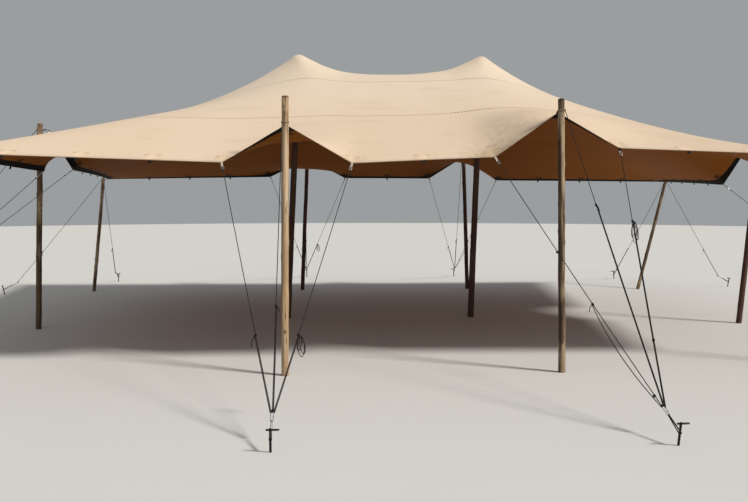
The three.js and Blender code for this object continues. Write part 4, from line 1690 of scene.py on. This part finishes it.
class Strands(Sweep):
    """Rope tubes, with the lay of the braid."""

    SIDES = 8
    STEP = 0.1
    COIL_STEPS = 14
    APART = 2.1

    def add(self, path: Sequence[Vector], radius: float) -> None:
        """Adds one rope along a path."""
        across = UP.cross(path[1] - path[0])
        if across.length < GAP:
            across = Vector((1, 0, 0))
        turns = [2 * math.pi * side / self.SIDES for side in range(self.SIDES)]
        ring = [(radius * math.cos(turn), radius * math.sin(turn), side / self.SIDES)
                for side, turn in enumerate(turns)]
        self.sweep(path, across, ring, True)

    @staticmethod
    def run(start: Vector, end: Vector, sag: float = 0.0, lean: Vector = -UP) -> list[Vector]:
        """A path from one point to another that sags, or bows to another side."""
        count = max(3, int((end - start).length / Strands.STEP))
        shares = [k / count for k in range(count + 1)]
        return [start.lerp(end, share) + lean * (4 * sag * share * (1 - share)) for share in shares]

    @staticmethod
    def coil(centre: Vector, axis: Vector, radius: float, turns: float, pitch: float,
             first: Vector) -> list[Vector]:
        """Turns of rope round an axis, from the side that a vector points to.

        Args:
            centre: The middle of the turns.
            axis: The direction that they turn round.
            radius: Their radius.
            turns: How many there are.
            pitch: Distance between them.
            first: The side that they start from.

        Returns:
            The path.
        """
        ahead = axis.normalized()
        across = (first - ahead * first.dot(ahead)).normalized()
        up = ahead.cross(across)
        count = int(turns * Strands.COIL_STEPS)
        path = []
        for k in range(count + 1):
            turn = 2 * math.pi * turns * k / count
            rise = (k / count - 0.5) * turns * pitch
            path.append(centre + ahead * rise + (across * math.cos(turn) + up * math.sin(turn)) * radius)
        return path

    def knot(self, centre: Vector, axis: Vector, radius: float, size: float, turns: float = 3.0) -> None:
        """A hitch: turns of rope round a rope."""
        self.add(self.coil(centre, axis, size, turns, radius * self.APART, axis.orthogonal()), radius)


class Straps(Sweep):
    """Flat webbing, with its weave."""

    ATTRIBUTE = "weave"
    SHARP = 30.0

    def add(self, path: Sequence[Vector], across: Vector, width: float, thick: float) -> None:
        """Adds one flat strap along a path, with its width in a direction."""
        corners = ((-1, -1), (1, -1), (1, 1), (-1, 1))
        ring = [(a * width / 2, b * thick / 2, a * width / 2) for a, b in corners]
        self.sweep(path, across, ring, False)


@dataclass
class Stake(Upright):
    """A driven steel stake with a cross head."""

    finishes: Finishes
    shank: float = 0.009
    head_length: float = 0.095
    head_aside: float = 0.016

    def build(self) -> Object:
        """Shapes the shank from a cylinder and puts the cross head on it."""
        shank = self.shaft(16, self.shank, 6)
        bpy.ops.object.mode_set(mode="OBJECT")
        name = self.node.replace("stake_", "driven_stake_")
        stake = Bench.join([shank, self.head()], name)
        Bench.dress(stake, name, self.finishes.black_steel)
        return Bench.finish(stake, Slot.STEEL, self.node)

    def head(self) -> Object:
        """The welded cross bar, square to the lean of the stake."""
        lean = Vector((self.top.x - self.foot.x, self.top.y - self.foot.y, 0)).normalized()
        bar = Vector((-lean.y, lean.x, 0))
        place = self.top - UP * self.shank + bar * self.head_aside
        turn = bar.to_track_quat("Z", "Y").to_euler()
        head = Bench.cylinder(12, self.shank * 0.8, self.head_length, place, turn)
        Bench.round_ends(head, 0.003)
        return head


class Fittings:
    """Steel parts that repeat: a snap hook, and the slim screw link between ropes and stake."""

    def __init__(self, finishes: Finishes) -> None:
        """Models each part once, round the origin."""
        self.hook = self.closed_loop(
            "snap_hook", radius=0.011, wire=0.0025, stretch=0.016, gate=0.0042, gate_length=0.02)
        self.link = self.closed_loop(
            "screw_link", radius=0.010, wire=0.0032, stretch=0.034, gate=0.0055, gate_length=0.022)
        for part in (self.hook, self.link):
            part.data.materials.append(finishes.silver)

    @staticmethod
    def closed_loop(name: str, radius: float, wire: float, stretch: float, gate: float,
                    gate_length: float) -> Object:
        """A wire loop, drawn out along its own Z, with a thicker gate on one leg.

        Args:
            name: The part's name.
            radius: The radius of its two round ends.
            wire: The radius of the wire.
            stretch: How far each end is moved out.
            gate: The radius of the gate.
            gate_length: The length of the gate.

        Returns:
            The part, round the origin.
        """
        Bench.clear()
        bpy.ops.mesh.primitive_torus_add(
            major_radius=radius, minor_radius=wire, major_segments=24, minor_segments=8,
            rotation=(math.pi / 2, 0, 0))
        loop = bpy.context.object
        Bench.settle(loop)
        Bench.edit(loop)
        Bench.pick(loop, Pick.VERT, lambda point: point.co.z > 0.0001)
        bpy.ops.transform.translate(value=(0, 0, stretch))
        Bench.pick(loop, Pick.VERT, lambda point: point.co.z < 0.0001)
        bpy.ops.transform.translate(value=(0, 0, -stretch))
        bpy.ops.object.mode_set(mode="OBJECT")
        sleeve = Bench.cylinder(12, gate, gate_length, (radius, 0, 0))
        Bench.round_ends(sleeve, gate * 0.25)
        return Bench.join([loop, sleeve], name)

    @staticmethod
    def along(place: Vector, direction: Vector, side: Vector) -> Matrix:
        """A placement with the part's own Z along a direction."""
        up = direction.normalized()
        right = (side - up * side.dot(up)).normalized()
        turn = Matrix((right, up.cross(right), up)).transposed().to_4x4()
        return Matrix.Translation(place) @ turn

    def remove(self) -> None:
        """Deletes the models that the copies were made from."""
        for part in (self.hook, self.link):
            bpy.data.objects.remove(part, do_unlink=True)


@dataclass(frozen=True)
class RopeTie:
    """How one guy rope is tied off: shares of its length from the top, and lengths in metres."""

    runner: float = 0.72
    knots: tuple[float, ...] = ()
    tail: float = 0.07
    hank: float = 0.0
    slack: float = 0.0
    sag: float = 0.012


class GuyKit:
    """What the pieces of one guy set are collected in."""

    def __init__(self, name: str) -> None:
        """Starts with nothing, for the guy set of that name."""
        self.name = name
        self.ropes = Strands()
        self.twine = Strands()
        self.black = Straps()
        self.pale = Straps()
        self.metal: list[Object] = []

    def finish(self, finishes: Finishes) -> None:
        """Makes the pieces from what was collected."""
        name = self.name
        Bench.finish(self.ropes.piece(f"ropes_{name}", finishes.rope), Slot.ROPE, f"guy_{name}")
        Bench.finish(self.black.piece(f"straps_{name}", finishes.black_webbing), Slot.HEM)
        if self.pale.points:
            Bench.finish(self.pale.piece(f"tie_loops_{name}", finishes.pale_webbing), Slot.HEM)
        Bench.finish(self.twine.piece(f"lashing_{name}", finishes.twine), Slot.ROPE)
        fittings = Bench.join(self.metal, f"fittings_{name}")
        Bench.smooth(fittings)
        Bench.finish(fittings, Slot.STEEL)


@dataclass
class Rigging:
    """The guy lines, with their straps, fittings and stakes."""

    canopy: Canopy
    poles: PoleSet
    finishes: Finishes
    fittings: Fittings
    rope: float = 0.0037
    twine: float = 0.0028
    landing_gap: float = 0.008
    lashing_turns: int = 2
    tab_length: float = 0.026
    ring_height: float = 0.215
    ring_setback: float = 0.21
    link_reach: float = 0.045
    strap_width: float = 0.012
    strap_thick: float = 0.0025
    tab_width: float = 0.03
    tab_past: float = 0.012
    loop_width: float = 0.02
    loop_thick: float = 0.0022
    loop_spread: tuple[float, ...] = (0.0012, 0.004, 0.006, 0.001)
    sewn_length: float = 0.03
    sewn_depth: float = 0.0085
    loop_reach: float = 0.05
    hook_reach: float = 0.072
    rope_reach: float = 0.098
    spare_width: float = 0.026
    spare_drop: float = 0.034
    thin_strap: float = 0.002
    twin_lift: float = 0.006
    grip_share: float = 0.55
    knot_rope: float = 0.9
    knot_size: float = 2.3
    runner_size: float = 1.9
    runner_turns: float = 3.5
    tail_aside: float = 4.0
    tail_bow: float = 0.12
    thin_rope: float = 0.8
    hank_aside: float = 2.2
    hank_steps: int = 18
    hook_knot: float = 1.4
    link_knot: float = 1.7
    link_knot_drop: float = 0.014
    link_knot_lean: float = 12.0
    knot_aside: float = 0.9
    knots_on_left: tuple[str, ...] = ("front_left",)
    black_loops: tuple[tuple[Side, int], ...] = ((Side.FRONT, 3),)
    hank_loops: tuple[Triple, ...] = ((0.72, 0.016, -0.3), (1.0, 0.026, 0.2), (0.85, 0.020, 0.55))
    edge_guys: tuple[tuple[str, Side, int], ...] = (
        ("front_left", Side.FRONT, -2),
        ("front_right", Side.FRONT, 2),
        ("back_left", Side.BACK, -2),
        ("back_right", Side.BACK, 2),
        ("side_left", Side.LEFT, -1),
        ("side_right", Side.RIGHT, -1),
    )
    corner_guys: tuple[tuple[str, Side, int], ...] = (
        ("corner_front_left", Side.FRONT, -7),
        ("corner_front_right", Side.FRONT, 7),
        ("corner_back_left", Side.BACK, -7),
        ("corner_back_right", Side.BACK, 7),
    )
    ties: dict[tuple[Side, int], RopeTie] = field(default_factory=lambda: {
        (Side.FRONT, -3): RopeTie(0.75, (), 0.09),
        (Side.FRONT, -2): RopeTie(0.70, (), 0.05),
        (Side.FRONT, -1): RopeTie(0.74, (), 0.06, hank=0.17),
        (Side.FRONT, 1): RopeTie(0.64, (0.42, 0.95), 0.06, slack=0.09),
        (Side.FRONT, 2): RopeTie(0.40, (0.28,), 0.07),
        (Side.FRONT, 3): RopeTie(0.31, (0.79,), 0.16, hank=0.20),
        (Side.BACK, -1): RopeTie(0.70, (), 0.06, hank=0.16),
        (Side.BACK, 3): RopeTie(0.66, (0.9,), 0.08, slack=0.05),
    })

    def build(self) -> None:
        """Builds each guy in turn."""
        for name, side, step in self.edge_guys:
            self.edge_guy(name, side, step)
        for name, side, step in self.corner_guys:
            self.corner_guy(name, side, step)
        self.spare_loops()

    def tab(self, side: Side, step: int) -> tuple[Vector, Vector]:
        """A tie point's edge and the end of its tab."""
        net = self.canopy.coarse
        edge = Vector(net.points[net.nearest(*self.canopy.cut.tie(side, step))])
        return edge, edge + net.outward(side, step) * (self.tab_length + GAP)

    def ring_of(self, stake: Stake, foot: Vector) -> tuple[Vector, Vector]:
        """Where the ropes meet near a stake, and the direction across them."""
        back = Vector((foot.x - stake.foot.x, foot.y - stake.foot.y, 0)).normalized()
        place = Vector((stake.foot.x, stake.foot.y, self.ring_height)) + back * self.ring_setback
        return place, Vector((back.y, -back.x, 0))

    def webbing_loop(self, straps: Straps, edge: Vector, end: Vector, width: float, low: Vector) -> None:
        """A folded webbing loop from the edge of the cloth, past the end of its tab, to its lowest point.

        Args:
            straps: What the loop is added to.
            edge: The edge of the cloth.
            end: The end of the tab.
            width: Width of the webbing.
            low: The loop's lowest point.
        """
        out = (end - edge).normalized()
        across = out.cross(UP)
        if across.length < 0.3:
            across = out.cross(Vector((0, 1, 0)))
        face = across.cross(out).normalized()
        middle = (edge - out * self.sewn_length - UP * self.sewn_depth, edge, end, low)
        for sign in (-1, 1):
            path = [place + face * (half * sign) for place, half in zip(middle, self.loop_spread)]
            straps.add(path, across, width, self.loop_thick)

    def tab_loop(self, kit: GuyKit, edge: Vector, end: Vector) -> None:
        """The wide black loop on the tab between the cloth and a pole."""
        low = end + (end - edge).normalized() * self.tab_past
        self.webbing_loop(kit.black, edge, end, self.tab_width, low)

    def guy_line(self, kit: GuyKit, top: Vector, ring: Vector, across: Vector, tie: RopeTie) -> None:
        """One rope down to the ring, and back up beside itself to its runner knot.

        Args:
            kit: What the rope is added to.
            top: Where the rope starts.
            ring: Where it ends, near the stake.
            across: The side that the second strand lies on.
            tie: How this rope is tied off.
        """
        strands, thin = kit.ropes, self.rope * self.knot_rope
        path = Strands.run(top, ring, tie.sag)
        strands.add(path, self.rope)
        ahead = (ring - top).normalized()
        last = len(path) - 1
        first = round(tie.runner * last)
        beside = (across - ahead * across.dot(ahead)).normalized() * self.rope * Strands.APART
        back = []
        for k in range(first, last + 1):
            share = (k - first) / max(1, last - first)
            back.append(path[k] + beside * (1 + tie.slack / self.rope * share * (1 - share)))
        strands.add(back, self.rope)
        strands.knot(path[first], ahead, thin, self.rope * self.runner_size, self.runner_turns)
        for knot in tie.knots:
            strands.knot(path[round(knot * last)] + beside * 0.5, ahead, thin, self.rope * self.knot_size)
        tail = path[first] - UP * tie.tail + beside * self.tail_aside
        strands.add(Strands.run(path[first] + beside, tail, tie.tail * self.tail_bow, across), thin)
        if tie.hank > 0:
            self.hank(strands, path[first] + beside * self.hank_aside, across, tie.hank)

    def hank(self, strands: Strands, top: Vector, across: Vector, length: float) -> None:
        """Spare rope in loose loops of unlike length that hang beside its runner knot.

        Args:
            strands: What the loops are added to.
            top: Where they hang from.
            across: The direction that they spread in.
            length: Length of the longest.
        """
        radius = self.rope * self.thin_rope
        outward = across.cross(UP)
        steps = self.hank_steps
        path = []
        for number, (share, spread, lean) in enumerate(self.hank_loops):
            for k in range(steps):
                turn = 2 * math.pi * k / steps
                fall = (1 - math.cos(turn)) / 2
                aside = math.sin(turn) * spread + fall * lean * 0.05
                layer = radius * Strands.APART * (number + k / steps) - radius * 3
                path.append(top - UP * (length * share * fall) + across * aside + outward * layer)
        strands.add(path, radius)
        strands.knot(top - UP * 0.012, UP, radius, radius * 2.2, 2.0)

    def lashing(self, kit: GuyKit, pole: Pole, height: float, towards: Vector, knot: Vector) -> None:
        """Thin turns of twine round a pole, with a knot on one side of it.

        Args:
            kit: What the turns are added to.
            pole: The pole.
            height: The height of their middle.
            towards: The side that they start from.
            knot: The side that the knot lies on.
        """
        thin = self.twine
        radius = pole.thick(height) + thin * 1.6
        axis = (pole.top - pole.foot).normalized()
        centre = pole.axis(height)
        turns = Strands.coil(centre, axis, radius, self.lashing_turns, thin * Strands.APART, towards)
        kit.twine.add(turns, thin)
        kit.twine.knot(centre + knot.normalized() * (radius + thin), knot.cross(axis), thin, thin * 2.0)

    def anchor(self, kit: GuyKit, stake: Stake, ring: Vector, across: Vector) -> None:
        """The bright link and the two thin straps on to the stake.

        Args:
            kit: What they are added to.
            stake: The stake.
            ring: Where the ropes meet.
            across: The direction across them.
        """
        lean = stake.top - stake.foot
        grip = stake.foot.lerp(stake.top, self.grip_share)
        down = (grip - ring).normalized()
        link = Fittings.along(ring + down * self.link_reach, down, across)
        kit.metal.append(Bench.copy(self.fittings.link, link))
        for offset in (-self.landing_gap, self.landing_gap):
            place = ring - down * self.link_knot_drop + across * offset * 0.5
            axis = down + across * offset * self.link_knot_lean
            kit.ropes.knot(place, axis, self.rope * self.knot_rope, self.rope * self.link_knot)
        start = ring + down * (self.link_reach * 2 - self.strap_width)
        for sign in (-1, 1):
            aside = across * (stake.shank * 1.05 * sign)
            near = start + aside * 0.35
            path = [near, near.lerp(grip + aside, 0.5), grip + aside + down * stake.shank]
            kit.black.add(path, lean, self.strap_width, self.strap_thick)
        wrap = Strands.coil(grip, lean, stake.shank + self.thin_strap, 1.0, 0.0, -down)
        kit.black.add(wrap, lean, self.strap_width, self.thin_strap)

    def edge_guy(self, name: str, side: Side, step: int) -> None:
        """A raised edge pole's guy: the pole rope and the two ropes beside it.

        Args:
            name: The guy's name.
            side: The side of the cloth.
            step: Number of the tie point, from the middle of the side.
        """
        kit = GuyKit(name)
        pole = self.poles.poles[name]
        stake = Stake(f"stake_{name}", self.finishes)
        stake.build()
        ring, across = self.ring_of(stake, pole.foot)
        edge, end = self.tab(side, step)
        axis = pole.axis(end.z)
        aside = -self.knot_aside if name in self.knots_on_left else self.knot_aside
        knot = Vector((ring.x - axis.x, ring.y - axis.y, 0)).normalized() + across * aside
        self.lashing(kit, pole, end.z, end - axis, knot)
        self.tab_loop(kit, edge, end)
        reach = pole.thick(end.z) + self.rope
        inward = (end - axis).normalized() * reach
        for lift in (-UP * self.twin_lift, UP * self.twin_lift):
            kit.ropes.add(Strands.run(end + lift, axis + inward + lift), self.rope)
        start = axis + knot.normalized() * (reach + self.rope)
        self.guy_line(kit, start, ring, across, self.ties.get((side, step), RopeTie()))
        for beside in (step - 1, step + 1):
            self.low_guy(kit, side, beside, ring, across)
        self.anchor(kit, stake, ring, across)
        kit.finish(self.finishes)

    def low_guy(self, kit: GuyKit, side: Side, step: int, ring: Vector, across: Vector) -> None:
        """The loop, hook and rope of a low point beside a raised one.

        Args:
            kit: What they are added to.
            side: The side of the cloth.
            step: Number of the tie point, from the middle of the side.
            ring: Where the ropes meet.
            across: The direction across them.
        """
        edge, end = self.tab(side, step)
        sign = 1 if (end - ring).dot(across) > 0 else -1
        landing = ring + across * (self.landing_gap * sign)
        down = (landing - end).normalized()
        straps = kit.black if (side, step) in self.black_loops else kit.pale
        self.webbing_loop(straps, edge, end, self.loop_width, end + down * self.loop_reach)
        hook = Fittings.along(end + down * self.hook_reach, down, across)
        kit.metal.append(Bench.copy(self.fittings.hook, hook))
        start = end + down * self.rope_reach
        kit.ropes.knot(start + down * 0.009, down, self.rope * self.thin_rope, self.rope * self.hook_knot)
        self.guy_line(kit, start, landing, across * sign, self.ties.get((side, step), RopeTie()))

    def corner_guy(self, name: str, side: Side, step: int) -> None:
        """A corner pole's lashing and its two ropes, each to its own stake.

        Args:
            name: The guy's name.
            side: The side of the cloth.
            step: Number of the tie point, from the middle of the side.
        """
        kit = GuyKit(name)
        pole = self.poles.poles[name]
        edge, end = self.tab(side, step)
        height = min(end.z, pole.top.z - 0.035)
        axis = pole.axis(height)
        self.lashing(kit, pole, height, end - axis, axis - end)
        self.tab_loop(kit, edge, end)
        reach = pole.thick(height) + self.rope
        kit.ropes.add(Strands.run(end, axis + (end - axis).normalized() * reach), self.rope)
        for direction in ("out", "end"):
            stake = Stake(f"stake_{name}_{direction}", self.finishes)
            stake.build()
            ring, across = self.ring_of(stake, pole.foot)
            outwards = Vector((ring.x - axis.x, ring.y - axis.y, 0)).normalized() * reach
            self.guy_line(kit, axis + outwards, ring, across, RopeTie())
            self.anchor(kit, stake, ring, across)
        kit.finish(self.finishes)

    def spare_loops(self) -> None:
        """Short black loops at the tie points that carry no rope."""
        straps = Straps()
        cut, net = self.canopy.cut, self.canopy.net
        held = cut.held()
        for side, step in cut.all_ties():
            if (side, step) in held:
                continue
            edge, normal = net.at(*cut.tie(side, step))
            out = net.outward(side, step)
            across = out.cross(normal).normalized()
            low = edge + (out * 0.35 - UP).normalized() * self.spare_drop
            start = edge - out * self.sewn_length - normal * self.sewn_depth
            inner = [start, edge + out * 0.002 - normal * 0.006, low - out * 0.006, low]
            outer = [low, low + out * 0.006, edge + out * 0.007 - normal * 0.004]
            for path in (inner, outer):
                straps.add(path, across, self.spare_width, self.thin_strap)
        Bench.finish(straps.piece("spare_tie_loops", self.finishes.black_webbing), Slot.HEM)


@dataclass(frozen=True)
class Studio:
    """The floor, the soft lights and the camera at the photograph's angle."""

    finishes: Finishes
    camera_place: tuple[float, float, float] = (-0.888, -11.139, 1.758)
    camera_turn: float = 0.0502
    focal_pixels: float = 748.6
    picture: tuple[int, int] = (748, 502)
    horizon_row: float = 199.5
    sensor: float = 36.0
    floor_radius: float = 45.0
    surround: Triple = (0.91, 0.945, 0.97)
    surround_strength: float = 0.36
    lights: tuple[tuple[str, Triple, float, float, Triple], ...] = (
        ("key_light", (6.6, -3.35, 6.7), 9.0, 3.66, (1.0, 0.965, 0.90)),
        ("fill_light", (-6.0, -12.0, 9.0), 60.0, 0.15, (1.0, 0.92, 0.80)),
    )

    def camera(self) -> None:
        """Sets the level camera, with the shift that puts the horizon in place."""
        lens = bpy.data.cameras.new("photo_camera")
        lens.sensor_width = self.sensor
        lens.sensor_fit = "HORIZONTAL"
        lens.lens = self.focal_pixels * self.sensor / self.picture[0]
        lens.shift_y = (self.horizon_row - self.picture[1] / 2) / self.picture[0]
        camera = bpy.data.objects.new("photo_camera", lens)
        camera.location = self.camera_place
        camera.rotation_euler = (math.pi / 2, 0.0, -self.camera_turn)
        bpy.context.scene.collection.objects.link(camera)
        bpy.context.scene.camera = camera

    def floor(self) -> None:
        """Lays a round plain floor."""
        Bench.clear()
        bpy.ops.mesh.primitive_circle_add(vertices=96, radius=self.floor_radius, fill_type="NGON",
                                          location=(0, 0, -0.001))
        floor = bpy.context.object
        floor.name = "studio_floor"
        Bench.settle(floor)
        floor.data.materials.append(self.finishes.floor)

    def light(self, name: str, place: Triple, spread: float, power: float, tone: Triple) -> None:
        """Adds one wide, soft light from far off, on the side that a place lies on.

        Args:
            name: Its name.
            place: A place on its side.
            spread: Its angle in degrees.
            power: Its strength.
            tone: Its colour.
        """
        data = bpy.data.lights.new(name, "SUN")
        data.angle = math.radians(spread)
        data.energy = power
        data.color = tone
        lamp = bpy.data.objects.new(name, data)
        lamp.location = place
        lamp.rotation_euler = (-Vector(place)).to_track_quat("-Z", "Y").to_euler()
        bpy.context.scene.collection.objects.link(lamp)

    def world(self) -> None:
        """A plain pale surrounding that also fills the shade."""
        world = bpy.data.worlds.new("pale_surround")
        world.use_nodes = True
        background = world.node_tree.nodes["Background"]
        background.inputs["Color"].default_value = (*self.surround, 1.0)
        background.inputs["Strength"].default_value = self.surround_strength
        bpy.context.scene.world = world

    def build(self) -> None:
        """Sets the whole studio."""
        scene = bpy.context.scene
        scene.view_settings.view_transform = "Standard"
        self.camera()
        self.floor()
        self.world()
        for light in self.lights:
            self.light(*light)


def main() -> None:
    """Builds the studio and the tent, piece by piece."""
    logging.basicConfig(level=logging.INFO, format="%(name)s: %(message)s")
    Bench.clear()
    finishes = Finishes()
    Studio(finishes).build()
    canopy = Canopy(CutCloth(), finishes)
    sheet, *sewn = canopy.build()
    poles = PoleSet(finishes)
    poles.build()
    fittings = Fittings(finishes)
    Rigging(canopy, poles, finishes, fittings).build()
    fittings.remove()
    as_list(sewn)


if __name__ == "__main__":
    main()
